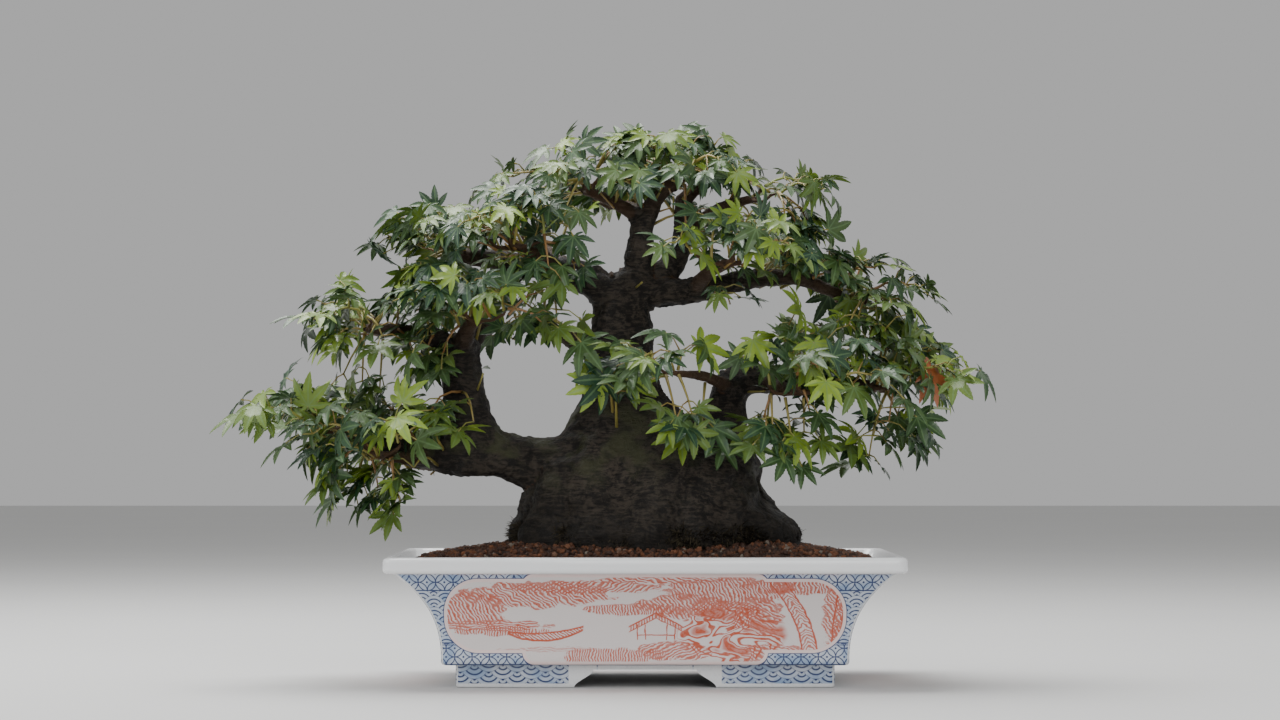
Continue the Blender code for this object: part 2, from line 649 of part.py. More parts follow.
class Shoot:
    """A green shoot's stem: where it starts off a twig's end, the twig's heading there, and its own."""

    def __init__(self, name, place, twig_heading, heading, pairs):
        self.name = name
        self.twig_heading = twig_heading
        self.heading = heading
        self.start = place + twig_heading * FIT_GAP
        self.stations = [0.0]
        for pair in range(pairs):
            middle = PAIR_SPACING * (pair + 1) - SHOOT_HALF_WIDTH
            self.stations += [middle - SHOOT_HALF_WIDTH, middle + SHOOT_HALF_WIDTH]

    def rings(self, growth=0.0):
        """The stem's square rings, one at each station, each this much larger all round."""
        rings = []
        for station in self.stations:
            facing = self.heading if station else self.twig_heading
            side = facing.cross(Vector((0, 0, 1))).normalized()
            up = side.cross(facing)
            centre = self.start + self.heading * station - Vector((0, 0, SHOOT_SAG * station**2))
            half = SHOOT_HALF_WIDTH * (1 - SHOOT_TAPER * station) + growth
            rings.append([centre + half * (u * up - s * side) for s, u in QUAD])
        return rings

    def skin(self):
        """A search tree of the stem's surface, the fit gap larger all round."""
        bm = bmesh.new()
        loft(bm, self.rings(FIT_GAP))
        tree = BVHTree.FromBMesh(bm)
        bm.free()
        return tree


class Crown:
    """Grows leaves one by one, each where it is clear of the wood, the soil, other shoots and earlier leaves."""

    def __init__(self, pieces):
        graph = bpy.context.evaluated_depsgraph_get()
        self.taken = [BVHTree.FromObject(piece, graph) for piece in pieces]
        self.stems = {}
        self.dice = random.Random(SEED)

    def add_stem(self, name, place, heading, pairs):
        """A shoot's stem, turned away from its pad's heading only as far as it must be to be clear."""
        for step in range(STEM_TRIES):
            lap, part = divmod(step, STEMS_PER_LAP)
            turn = math.radians(STEM_TURN * ((part + 1) // 2) * (-1) ** part)
            raised = (heading + Vector((0, 0, STEM_LIFT * lap))).normalized()
            shoot = Shoot(name, place, heading, Matrix.Rotation(turn, 3, "Z") @ raised, pairs)
            skin = shoot.skin()
            if not any(skin.overlap(other) for other in (*self.taken, *self.stems.values())):
                break
        self.stems[name] = skin
        return shoot

    def is_clear(self, shoot, corners, points, faces):
        """Whether a leaf keeps the fit gap to everything in place, above, below and beyond its own surface."""
        root = sum(corners, Vector()) / 4
        away = (points[-2] - points[-1]).normalized() * FIT_GAP
        cloud = []
        for shift in (away, -away):
            start = (points[0] - root) * PROBE_START
            cloud += [corner.lerp(root, PROBE_NARROWING) + start for corner in corners]
            cloud += [point + (point - root).normalized() * FIT_GAP + shift for point in points]
        count = len(cloud) // 2
        doubled = [tuple(k + shift for k in face) for shift in (0, count) for face in faces]
        tree = BVHTree.FromPolygons(cloud, doubled)
        others = [stem for name, stem in self.stems.items() if name != shoot.name]
        return not any(tree.overlap(other) for other in self.taken + others)

    def find_leaf(self, shoot, corners, out, size_share):
        """The points and faces of the first of several seeded tries at a leaf that is clear, or None."""
        root = sum(corners, Vector()) / 4
        for attempt in range(LEAF_TRIES):
            swing = Matrix.Rotation(math.radians(self.dice.uniform(-LEAF_SWING, LEAF_SWING)), 3, "Z")
            pitch = math.radians(self.dice.uniform(*LEAF_PITCH))
            petiole = PETIOLE_LENGTH * self.dice.uniform(*PETIOLE_SIZES)
            size = LEAF_LENGTH * size_share * self.dice.uniform(*LEAF_SIZES) * (1 - LEAF_TRY_SHRINK * attempt)
            points = leaf_points(root, swing @ out, pitch, petiole, size)
            turn = min(
                range(4), key=lambda t: sum((points[(i + t) % 4] - corners[i]).length for i in range(4))
            )
            faces = leaf_faces(turn)
            if self.is_clear(shoot, corners, points, faces):
                return points, faces
        return None

    def make_shoot(self, shoot, material):
        """A shoot that carries leaves in opposite pairs, each pair crosswise to the one before."""
        bm = bmesh.new()
        rings = [[bm.verts.new(point) for point in ring] for ring in shoot.rings()]
        bm.faces.new(rings[0])
        bm.faces.new(rings[-1])
        grown = []
        for k, (lower, upper) in enumerate(zip(rings, rings[1:])):
            pair = (k - 1) // 2
            for i in range(4):
                corners = (lower[i], lower[(i + 1) % 4], upper[(i + 1) % 4], upper[i])
                bears = k % 2 == 1 and i % 2 == (pair + 1) % 2
                if not (bears and self.grow_leaf(bm, shoot, corners, 1 - PAIR_SHRINK * pair, grown)):
                    bm.faces.new(corners)
        for tree in grown:
            self.taken.remove(tree)
        bmesh.ops.recalc_face_normals(bm, faces=bm.faces)
        self.taken.append(BVHTree.FromBMesh(bm))
        return new_object(shoot.name, bm, material, smooth_angle=30)

    def grow_leaf(self, bm, shoot, corners, size_share, grown):
        """Grows a leaf out of one face of a shoot, and says whether there was room for it."""
        places = [vert.co.copy() for vert in corners]
        normal = (places[1] - places[0]).cross(places[2] - places[0]).normalized()
        if abs(normal.z) > STEEP_FACE:
            across = shoot.heading.cross(Vector((0, 0, 1))).normalized()
            normal = (normal + across * math.copysign(STEEP_TURN, normal.z)).normalized()
        out = (normal + FORWARD_LEAN * shoot.heading).normalized()
        found = self.find_leaf(shoot, places, out, size_share)
        if found is None:
            return False
        points, faces = found
        verts = [*corners, *(bm.verts.new(point) for point in points)]
        for face in faces:
            bm.faces.new([verts[k] for k in face])
        tree = BVHTree.FromPolygons([*places, *points], faces)
        self.taken.append(tree)
        grown.append(tree)
        return True


# ---- Assembly ------------------------------------------------------------------------------------------------


def main():
    for obj in list(bpy.data.objects):
        bpy.data.objects.remove(obj)
    porcelain = finish("porcelain", (0.80, 0.82, 0.84), 0.18)
    plastic = finish("screen_plastic", (0.03, 0.03, 0.03), 0.55)
    aluminium = finish("staple_wire", (0.60, 0.58, 0.55), 0.35, 1.0)
    earth = finish("soil", (0.17, 0.09, 0.05), 0.95)
    bark = finish("bark", (0.06, 0.05, 0.045), 0.85)
    foliage = finish("foliage", (0.10, 0.22, 0.07), 0.45)
    make_pot(porcelain)
    for side, where in ((-1, "left"), (1, "right")):
        make_screen(f"drain_screen_{where}", side, plastic)
        make_staple(f"screen_staple_{where}", side, aluminium)
    soil = make_soil(earth)
    wood = make_wood(bark)
    bpy.context.view_layer.update()
    crown = Crown((wood, soil))
    shoots = []
    for pad in PADS:
        for i, (place, heading) in enumerate(shoot_places(pad), 1):
            shoots.append(crown.add_stem(f"leafy_shoot_{pad.name}_{i}", place, heading, pad.pairs))
    for shoot in shoots:
        crown.make_shoot(shoot, foliage)


main()
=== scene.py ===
"""The looks of a maple bonsai in a painted porcelain pot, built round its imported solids.

The pot, its drainage, the soil, the wood and the leafy shoots each have a class. A class takes its place
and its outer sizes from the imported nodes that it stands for, builds a finer mesh there, and dresses it in a
finish. Lengths are metres unless a docstring says millimetres.
"""

from __future__ import annotations

import logging
import math
import random
from collections.abc import Sequence
from dataclasses import dataclass, field
from enum import Enum
import bmesh
import bpy
import numpy as np
from mathutils import Matrix, Vector, noise
from mathutils.bvhtree import BVHTree
from mathutils.kdtree import KDTree


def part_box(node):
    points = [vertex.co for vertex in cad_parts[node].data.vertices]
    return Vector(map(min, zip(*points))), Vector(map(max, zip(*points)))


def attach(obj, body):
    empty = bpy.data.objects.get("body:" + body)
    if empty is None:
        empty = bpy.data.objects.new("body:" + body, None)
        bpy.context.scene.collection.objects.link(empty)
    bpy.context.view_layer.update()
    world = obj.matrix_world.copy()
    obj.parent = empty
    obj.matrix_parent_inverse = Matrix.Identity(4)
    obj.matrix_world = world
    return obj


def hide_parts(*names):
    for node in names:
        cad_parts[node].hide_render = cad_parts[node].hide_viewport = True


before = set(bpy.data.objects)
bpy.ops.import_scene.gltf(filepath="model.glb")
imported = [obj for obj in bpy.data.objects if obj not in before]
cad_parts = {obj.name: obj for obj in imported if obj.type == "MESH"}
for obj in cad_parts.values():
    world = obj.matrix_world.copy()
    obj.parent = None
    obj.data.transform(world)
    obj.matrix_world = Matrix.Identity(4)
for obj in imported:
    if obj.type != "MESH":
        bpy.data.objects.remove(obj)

LOG = logging.getLogger("bonsai")
MM = 0.001
ROOT = "root"
UP = Vector((0, 0, 1))
Colour = tuple[float, float, float]
Paint = Colour | bpy.types.NodeSocket


class Slot(Enum):
    """The record's material slots, which enlist is handed for each new piece but does not use."""

    PORCELAIN = "porcelain"
    SOIL = "soil"
    BARK = "bark"
    FOLIAGE = "foliage"


# ---- Shader arithmetic ---------------------------------------------------------------------------------


class Field:
    """A number that varies over a surface. Sums, products and comparisons of fields are fields too."""

    def __init__(self, tree: bpy.types.NodeTree, socket: bpy.types.NodeSocket) -> None:
        """Wraps a socket of a node tree."""
        self.tree = tree
        self.socket = socket

    def _apply(self, operation: str, *others: Field | float) -> Field:
        """Adds a Math node.

        Args:
            operation: the node's operation.
            others: its further inputs, as fields or plain numbers.

        Returns:
            The node's result.
        """
        node = self.tree.nodes.new("ShaderNodeMath")
        node.operation = operation
        self.tree.links.new(self.socket, node.inputs[0])
        for place, value in enumerate(others, 1):
            if isinstance(value, Field):
                self.tree.links.new(value.socket, node.inputs[place])
            else:
                node.inputs[place].default_value = value
        return Field(self.tree, node.outputs[0])

    def __add__(self, other: Field | float) -> Field:
        """The sum."""
        return self._apply("ADD", other)

    def __sub__(self, other: Field | float) -> Field:
        """The difference."""
        return self._apply("SUBTRACT", other)

    def __mul__(self, other: Field | float) -> Field:
        """The product."""
        return self._apply("MULTIPLY", other)

    def __truediv__(self, other: Field | float) -> Field:
        """The quotient."""
        return self._apply("DIVIDE", other)

    def __rsub__(self, other: float) -> Field:
        """A plain number less this field."""
        return self * -1.0 + other

    __radd__ = __add__

    def abs(self) -> Field:
        """The size without its sign."""
        return self._apply("ABSOLUTE")

    def sin(self) -> Field:
        """The sine."""
        return self._apply("SINE")

    def sqrt(self) -> Field:
        """The square root."""
        return self._apply("SQRT")

    def floor(self) -> Field:
        """The whole part."""
        return self._apply("FLOOR")

    def round(self) -> Field:
        """The nearest whole number."""
        return self._apply("ROUND")

    def fract(self) -> Field:
        """The part after the point."""
        return self._apply("FRACT")

    def low(self, other: Field | float) -> Field:
        """The smaller of the two."""
        return self._apply("MINIMUM", other)

    def high(self, other: Field | float) -> Field:
        """The larger of the two."""
        return self._apply("MAXIMUM", other)

    def below(self, edge: float, soft: float) -> Field:
        """1 well below an edge and 0 well above it.

        Args:
            edge: where the result is one half.
            soft: how wide the change is.

        Returns:
            The smooth step.
        """
        node = self.tree.nodes.new("ShaderNodeMapRange")
        node.interpolation_type = "SMOOTHSTEP"
        self.tree.links.new(self.socket, node.inputs["Value"])
        node.inputs["From Min"].default_value = edge - soft / 2
        node.inputs["From Max"].default_value = edge + soft / 2
        node.inputs["To Min"].default_value = 1.0
        node.inputs["To Max"].default_value = 0.0
        return Field(self.tree, node.outputs["Result"])

    def above(self, edge: float, soft: float) -> Field:
        """0 well below an edge and 1 well above it."""
        return 1.0 - self.below(edge, soft)

    def near(self, middle: float, reach: float, soft: float) -> Field:
        """1 within a reach of a value and 0 beyond it."""
        return (self - middle).abs().below(reach, soft)

    def choose(self, yes: Field | float, no: Field | float) -> Field:
        """One value where this is 1 and the other where it is 0."""
        return self * yes + (1.0 - self) * no

    def share(self) -> Field:
        """The same, held between 0 and 1."""
        return self.high(0.0).low(1.0)

    def wrapped(self, pitch: float) -> Field:
        """The distance from the nearest whole multiple of a pitch."""
        return self - (self / pitch).round() * pitch


def strongest(marks: list[Field]) -> Field:
    """The largest of several fields at each place.

    Args:
        marks: the fields, at least one.

    Returns:
        Their maximum.
    """
    best = marks[0]
    for mark in marks[1:]:
        best = best.high(mark)
    return best


class Surface:
    """A material under construction, with its Principled shader and the fields that drive it."""

    def __init__(self, name: str) -> None:
        """Starts a material of this name."""
        self.material = bpy.data.materials.new(name)
        self.material.use_nodes = True
        self.tree = self.material.node_tree
        self.shader = self.tree.nodes["Principled BSDF"]
        self.place = self.tree.nodes.new("ShaderNodeTexCoord").outputs["Object"]

    def set(self, **values: float) -> None:
        """Sets plain numbers on the shader's own sockets, with _ for each space in a socket's name."""
        for name, value in values.items():
            self.shader.inputs[name.replace("_", " ")].default_value = value

    def field(self, socket: bpy.types.NodeSocket) -> Field:
        """A socket as a field."""
        return Field(self.tree, socket)

    def axes(self) -> tuple[Field, Field, Field]:
        """Splits the place on the surface.

        Returns:
            X, Y and Z, in millimetres.
        """
        node = self.tree.nodes.new("ShaderNodeSeparateXYZ")
        self.tree.links.new(self.place, node.inputs[0])
        x, y, z = (self.field(output) / MM for output in node.outputs)
        return x, y, z

    def facing(self) -> tuple[Field, Field, Field]:
        """Splits the surface's normal.

        Returns:
            Its X, Y and Z.
        """
        node = self.tree.nodes.new("ShaderNodeSeparateXYZ")
        geometry = self.tree.nodes.new("ShaderNodeNewGeometry")
        self.tree.links.new(geometry.outputs["Normal"], node.inputs[0])
        x, y, z = (self.field(output) for output in node.outputs)
        return x, y, z

    def point(self, *parts: Field) -> bpy.types.NodeSocket:
        """Joins fields to a place.

        Args:
            parts: its X, Y and Z.

        Returns:
            The place's socket.
        """
        node = self.tree.nodes.new("ShaderNodeCombineXYZ")
        for part, entry in zip(parts, node.inputs):
            self.tree.links.new(part.socket, entry)
        return node.outputs[0]

    def noise(
        self,
        scale: float,
        detail: float = 3.0,
        rough: float = 0.5,
        at: bpy.types.NodeSocket | None = None,
        bend: float = 0.0,
    ) -> Field:
        """Noise from 0 to 1.

        Args:
            scale: features per unit of the place's length.
            detail: octaves.
            rough: how strong the finer octaves are.
            at: the place to read it at, or None for the object's own.
            bend: distortion.

        Returns:
            The noise.
        """
        node = self.tree.nodes.new("ShaderNodeTexNoise")
        node.inputs["Scale"].default_value = scale
        node.inputs["Detail"].default_value = detail
        node.inputs["Roughness"].default_value = rough
        node.inputs["Distortion"].default_value = bend
        self.tree.links.new(at or self.place, node.inputs["Vector"])
        return self.field(node.outputs["Fac"])

    def cells(self, scale: float) -> Field:
        """The distance to the nearest of scattered points.

        Args:
            scale: points to the metre.

        Returns:
            The distance, in shares of their spacing.
        """
        node = self.tree.nodes.new("ShaderNodeTexVoronoi")
        node.inputs["Scale"].default_value = scale
        self.tree.links.new(self.place, node.inputs["Vector"])
        return self.field(node.outputs["Distance"])

    def attribute(self, name: str) -> Field:
        """Reads a number that each of the mesh's points carries.

        Args:
            name: the attribute's name.

        Returns:
            The number.
        """
        node = self.tree.nodes.new("ShaderNodeAttribute")
        node.attribute_name = name
        return self.field(node.outputs["Fac"])

    def tint(self) -> tuple[Field, Field, Field]:
        """Reads the tint that each of the mesh's points carries.

        Returns:
            Its three numbers.
        """
        node = self.tree.nodes.new("ShaderNodeAttribute")
        node.attribute_name = "tint"
        parts = self.tree.nodes.new("ShaderNodeSeparateColor")
        self.tree.links.new(node.outputs["Color"], parts.inputs[0])
        first, second, third = (self.field(output) for output in parts.outputs)
        return first, second, third

    def blend(self, share: Field, first: Paint, second: Paint) -> bpy.types.NodeSocket:
        """Mixes two colours.

        Args:
            share: 0 for the first colour, 1 for the second.
            first: a colour or a colour socket.
            second: a colour or a colour socket.

        Returns:
            The mixed colour's socket.
        """
        node = self.tree.nodes.new("ShaderNodeMix")
        node.data_type = "RGBA"
        self.tree.links.new(share.socket, node.inputs["Factor"])
        for entry, colour in ((node.inputs[6], first), (node.inputs[7], second)):
            if isinstance(colour, bpy.types.NodeSocket):
                self.tree.links.new(colour, entry)
            else:
                entry.default_value = (*colour, 1.0)
        return node.outputs[2]

    def finish(
        self,
        colour: bpy.types.NodeSocket,
        rough: Field,
        height: Field | None = None,
        depth: float = 0.0,
    ) -> bpy.types.Material:
        """Joins the fields to the shader.

        Args:
            colour: the base colour's socket.
            rough: the roughness.
            height: the relief from 0 to 1, or None.
            depth: the relief's full height in metres.

        Returns:
            The finished material.
        """
        self.tree.links.new(colour, self.shader.inputs["Base Color"])
        self.tree.links.new(rough.socket, self.shader.inputs["Roughness"])
        if height is not None:
            bump = self.tree.nodes.new("ShaderNodeBump")
            bump.inputs["Strength"].default_value = 1.0
            bump.inputs["Distance"].default_value = depth
            self.tree.links.new(height.socket, bump.inputs["Height"])
            self.tree.links.new(bump.outputs[0], self.shader.inputs["Normal"])
        return self.material


# ---- Finishes ------------------------------------------------------------------------------------------


@dataclass(frozen=True)
class BarkFinish:
    """Damp, nearly black bark: fine fibres that wrap round the wood, paler ridges, and moss on the shoulders.

    Scales are in features to the metre and heights in millimetres.
    """

    dark: Colour = (0.007, 0.0055, 0.0045)
    ridge: Colour = (0.066, 0.052, 0.039)
    moss: Colour = (0.048, 0.050, 0.022)
    young: Colour = (0.100, 0.050, 0.022)
    warp_scale: float = 38.0
    warp_reach: float = 0.010
    fibre_scale: float = 520.0
    fibre_length: float = 0.0004
    fibre_pitch: float = 0.0016
    scale_scale: float = 330.0
    plate_scale: float = 150.0
    pore_scale: float = 1500.0
    grime_scale: float = 24.0
    patch_scale: float = 60.0
    youth_scale: float = 90.0
    # Height in millimetres above which the ridges keep their paler colour; below it the bark grows darker
    # towards the bottom.
    ridges_pale_above: float = 72.0
    ridge_fade: float = 34.0
    moss_height: float = 118.0
    moss_reach: float = 22.0
    moss_fade: float = 26.0
    relief: float = 1.5 * MM

    def build(self) -> bpy.types.Material:
        """Mixes fibres, plates, grime, moss and young bark.

        Returns:
            The material.
        """
        s = Surface("bark")
        x, y, z = s.axes()
        warp = s.noise(self.warp_scale, 3.0)
        level_x, level_y = (x + y) * self.fibre_length, y * self.fibre_length
        around = s.point(level_x, level_y, z * self.fibre_pitch + warp * self.warp_reach)
        fibres = s.noise(self.fibre_scale, 6.0, 0.72, at=around, bend=0.4)
        scales = s.cells(self.scale_scale)
        plates = s.noise(self.plate_scale, 5.0, 0.65, bend=1.2)
        height = fibres * 0.75 + scales * 0.35 + plates * 0.9 + s.noise(self.pore_scale, 2.0) * 0.12
        grime = s.noise(self.grime_scale, 3.0).above(0.5, 0.35) * 0.35 + 0.12
        raised = (fibres * 0.55 + plates * 0.45).above(0.51, 0.14)
        # The ridges' paler colour fades out towards the bottom of the trunk, so the bark is darker there.
        worn = raised * (1.0 - grime) * z.above(self.ridges_pale_above, self.ridge_fade).high(0.3)
        tone = s.blend(worn, self.dark, self.ridge)
        patches = s.noise(self.patch_scale, 4.0)
        shoulder = z.near(self.moss_height, self.moss_reach, self.moss_fade)
        mossy = patches.above(0.56, 0.16) * shoulder * s.facing()[2].above(0.05, 0.6)
        tone = s.blend(mossy * 0.8, tone, self.moss)
        youth = s.attribute("thin") * (0.45 + s.noise(self.youth_scale) * 0.5)
        tone = s.blend(youth, tone, self.young)
        s.set(Specular_IOR_Level=0.32)
        return s.finish(tone, 0.80 - patches.above(0.5, 0.3) * 0.28, height, self.relief)


@dataclass(frozen=True)
class FringeFinish:
    """Dark, damp moss and root fibres."""

    dark: Colour = (0.014, 0.010, 0.007)
    pale: Colour = (0.085, 0.068, 0.034)
    fleck_scale: float = 800.0
    relief: float = 0.1 * MM

    def build(self) -> bpy.types.Material:
        """Mixes the dark and the pale fibres.

        Returns:
            The material.
        """
        s = Surface("root_fringe")
        tone = s.attribute("tint")
        flecks = s.noise(self.fleck_scale, 3.0)
        s.set(Specular_IOR_Level=0.3)
        colour = s.blend((tone * 1.6 + flecks * 0.4 - 0.2).share(), self.dark, self.pale)
        return s.finish(colour, 0.85 + flecks * 0.1, flecks, self.relief)


@dataclass(frozen=True)
class LeafFinish:
    """A wet maple leaf: deep or yellow-green by its age, with pale veins, or withered to orange."""

    deep: Colour = (0.008, 0.042, 0.020)
    fresh: Colour = (0.210, 0.310, 0.022)
    vein: Colour = (0.130, 0.230, 0.090)
    dry: Colour = (0.360, 0.105, 0.030)
    mottle_scale: float = 420.0
    crease_scale: float = 900.0
    relief: float = 0.25 * MM

    def build(self) -> bpy.types.Material:
        """Mixes the green of the leaf's age with its veins, or with its withered orange.

        Returns:
            The material.
        """
        s = Surface("maple_leaf")
        age, midrib, dry = s.tint()
        mottle = s.noise(self.mottle_scale, 4.0, 0.6)
        colour = s.blend((age + mottle * 0.30 - 0.13).share(), self.deep, self.fresh)
        colour = s.blend(midrib.above(0.84, 0.24) * 0.5, colour, self.vein)
        colour = s.blend(dry.above(0.5, 0.4), colour, self.dry)
        s.set(Specular_IOR_Level=0.42, Coat_Weight=0.5, Coat_Roughness=0.13, Coat_IOR=1.33)
        rough = 0.44 + mottle * 0.2
        height = midrib * 0.6 + s.noise(self.crease_scale, 2.0) * 0.25
        return s.finish(colour, rough, height, self.relief)


@dataclass(frozen=True)
class StalkFinish:
    """Young stems and leaf stalks, from green to ochre, and some of them reddened."""

    green: Colour = (0.190, 0.250, 0.045)
    ochre: Colour = (0.330, 0.250, 0.065)
    red: Colour = (0.260, 0.070, 0.035)
    fleck_scale: float = 700.0
    relief: float = 0.1 * MM

    def build(self) -> bpy.types.Material:
        """Mixes the stalk's green, ochre and red by its tint.

        Returns:
            The material.
        """
        s = Surface("young_stalk")
        age, redness, _ = s.tint()
        flecks = s.noise(self.fleck_scale, 3.0)
        colour = s.blend((age + flecks * 0.4 - 0.2).share(), self.ochre, self.green)
        colour = s.blend((redness * 0.9 + flecks * 0.2 - 0.15).share(), colour, self.red)
        s.set(Coat_Weight=0.3, Coat_Roughness=0.15)
        return s.finish(colour, 0.38 + flecks * 0.2, flecks, self.relief)


@dataclass(frozen=True)
class GrainFinish:
    """Damp fired-clay granules, red-brown with some orange and a few grey ones."""

    brown: Colour = (0.040, 0.018, 0.011)
    orange: Colour = (0.190, 0.068, 0.026)
    grey: Colour = (0.170, 0.140, 0.110)
    grey_above: float = 0.955
    pore_scale: float = 1300.0
    relief: float = 0.5 * MM

    def build(self, name: str) -> bpy.types.Material:
        """Mixes the clay's colours by each granule's own shade.

        Args:
            name: the material's name.

        Returns:
            The material.
        """
        s = Surface(name)
        shade = s.attribute("shade")
        pores = s.noise(self.pore_scale, 4.0, 0.65)
        colour = s.blend((shade * shade + pores * 0.35 - 0.2).share(), self.brown, self.orange)
        colour = s.blend(shade.above(self.grey_above, 0.03), colour, self.grey)
        s.set(Specular_IOR_Level=0.4)
        return s.finish(colour, 0.58 + pores * 0.25, pores, self.relief)


@dataclass(frozen=True)
class PlasticFinish:
    """Black moulded mesh, dusted with clay."""

    black: Colour = (0.018, 0.018, 0.019)
    dust: Colour = (0.110, 0.070, 0.045)
    dirt_scale: float = 260.0
    relief: float = 0.15 * MM

    def build(self) -> bpy.types.Material:
        """Lays dust over the black.

        Returns:
            The material.
        """
        s = Surface("screen_plastic")
        dirt = s.noise(self.dirt_scale, 5.0, 0.6)
        colour = s.blend(dirt.above(0.6, 0.2) * 0.6, self.black, self.dust)
        return s.finish(colour, 0.42 + dirt * 0.3, dirt, self.relief)


@dataclass(frozen=True)
class WireFinish:
    """Annealed aluminium wire, bronzed and unevenly worn."""

    bright: Colour = (0.420, 0.330, 0.250)
    dull: Colour = (0.160, 0.110, 0.080)
    wear_scale: float = 640.0
    relief: float = 0.05 * MM

    def build(self) -> bpy.types.Material:
        """Mixes the worn and the dull metal.

        Returns:
            The material.
        """
        s = Surface("staple_wire")
        wear = s.noise(self.wear_scale, 5.0, 0.6)
        colour = s.blend(wear, self.dull, self.bright)
        s.set(Metallic=1.0)
        return s.finish(colour, 0.30 + wear * 0.25, wear, self.relief)


@dataclass(frozen=True)
class FloorFinish:
    """A plain, pale, matt studio floor."""

    pale: Colour = (0.62, 0.62, 0.61)
    paler: Colour = (0.66, 0.66, 0.65)
    cloud_scale: float = 4.0

    def build(self) -> bpy.types.Material:
        """Clouds the floor a little.

        Returns:
            The material.
        """
        s = Surface("floor")
        cloud = s.noise(self.cloud_scale, 2.0)
        return s.finish(s.blend(cloud, self.pale, self.paler), 0.7 + cloud * 0.1)


@dataclass(frozen=True)
class Oblong:
    """A rounded oblong on the pot's walls, in millimetres: its half widths by side, its edges and corners."""

    front: float
    end: float
    low: float
    high: float
    corner: float

    def beyond(self, u: Field, v: Field, end: Field) -> Field:
        """The distance outside it.

        Args:
            u: the place along the wall, from its middle.
            v: the height.
            end: 1 on the pot's short sides, 0 on its long ones.

        Returns:
            Millimetres, below 0 inside it.
        """
        half = end.choose(self.end, self.front)
        a = (u.abs() - half + self.corner).high(0.0)
        rise = (v - (self.low + self.high) / 2).abs()
        b = (rise - ((self.high - self.low) / 2 - self.corner)).high(0.0)
        return (a * a + b * b).sqrt() - self.corner


WINDOW = (Oblong(92.0, 58.0, 17.0, 50.4, 15.5), Oblong(56.0, 34.0, 11.6, 52.6, 5.0))


@dataclass(frozen=True)
class Patch:
    """A patch of parallel brush strokes with a ragged edge.

    Attributes:
        u: its middle along the wall, in millimetres.
        v: its middle's height.
        wide: its half width.
        high: its half height.
        slant: its strokes' angle, in degrees.
        spacing: the distance between strokes.
        strength: how strong the strokes are, up to 1.
        outline: how strong its upper edge is, up to 1.
    """

    u: float
    v: float
    wide: float
    high: float
    slant: float
    spacing: float = 1.5
    strength: float = 0.9
    outline: float = 0.8

    def paint(self, u: Field, v: Field, edge: Field, drift: Field) -> Field:
        """How much paint the patch lays down.

        Args:
            u: the place along the wall, in millimetres.
            v: the height.
            edge: noise that makes its edge ragged.
            drift: noise that bends its strokes.

        Returns:
            From 0 to 1.
        """
        a, b = (u - self.u) / self.wide, (v - self.v) / self.high
        reach = a * a + b * b + edge
        turn = math.radians(self.slant)
        across = (u * math.sin(turn) + v * math.cos(turn)) / self.spacing + drift
        strokes = across.fract().below(0.60, 0.35)
        rim = reach.near(1.0, 0.10, 0.12) * b.above(-0.1, 0.4)
        return (strokes * reach.below(1.0, 0.3) * self.strength).high(rim * self.outline)


PATCHES = (
    Patch(-50, 43.5, 34, 6.0, 38),
    Patch(-28, 47.0, 34, 3.0, -32),
    Patch(-80, 36.0, 15, 8.5, 62),
    Patch(-70, 29.0, 26, 2.6, 4, 1.1),
    Patch(-66, 26.5, 22, 2.2, 88, 1.2, outline=0.0),
    Patch(6, 50.5, 34, 1.6, 20, outline=0.5),
    Patch(-4, 36.5, 24, 2.6, 80, 1.3),
    Patch(18, 38.0, 20, 5.5, 50),
    Patch(40, 45.0, 30, 6.0, 65),
    Patch(36, 36.0, 18, 4.5, -40),
    Patch(52, 33.0, 11, 9.0, 30),
    Patch(14, 17.0, 18, 4.2, -25),
    Patch(-16, 15.0, 26, 3.4, 90, 1.2, outline=0.0),
    Patch(-44, 18.0, 22, 1.2, 3, 1.2, 0.5, outline=0.0),
    Patch(58, 16.5, 14, 4.0, 20),
    Patch(87, 33.0, 5, 15.0, 55),
    Patch(68, 47.5, 24, 4.2, 72),
)


@dataclass(frozen=True)
class Rocks:
    """Rocks on the shore, drawn as nested contours inside an oval, in millimetres."""

    u: float = 40.0
    v: float = 25.0
    wide_squared: float = 620.0
    high_squared: float = 190.0
    contours: float = 12.0

    def paint(self, s: Surface, u: Field, v: Field) -> Field:
        """How much paint the rocks take.

        Args:
            s: the surface.
            u: the place along the wall.
            v: the height.

        Returns:
            From 0 to 1.
        """
        hills = s.noise(1.0, 2.0, at=s.point(u * 0.055, v * 0.085, v * 0.0), bend=0.6)
        contours = (hills * self.contours).fract().near(0.5, 0.2, 0.16)
        a, b = u - self.u, v - self.v
        shore = (a * a / self.wide_squared + b * b / self.high_squared).below(1.0, 0.3)
        return (contours.high(hills.above(0.58, 0.06) * 0.8)) * shore


@dataclass(frozen=True)
class PineStem:
    """A pine's bowed and scaly stem: where it stands, how far it bows and its half width, in millimetres."""

    foot: float
    bow: float
    girth: float
    ground: float = 14.0
    line: float = 0.45

    def paint(self, u: Field, v: Field, drift: Field) -> Field:
        """How much paint the stem takes.

        Args:
            u: the place along the wall.
            v: the height.
            drift: noise that bends its scales.

        Returns:
            From 0 to 1.
        """
        rise = v - self.ground
        across = (u - self.foot + rise * rise * self.bow).abs()
        scales = (v * 0.55 + across * 0.5 + drift).fract().below(0.5, 0.2)
        inside = across.below(self.girth, 0.2)
        return across.near(self.girth, self.line, 0.3).high(inside * scales * 0.85)


PINES = (PineStem(76.0, 0.0125, 3.4), PineStem(88.0, -0.003, 2.0))


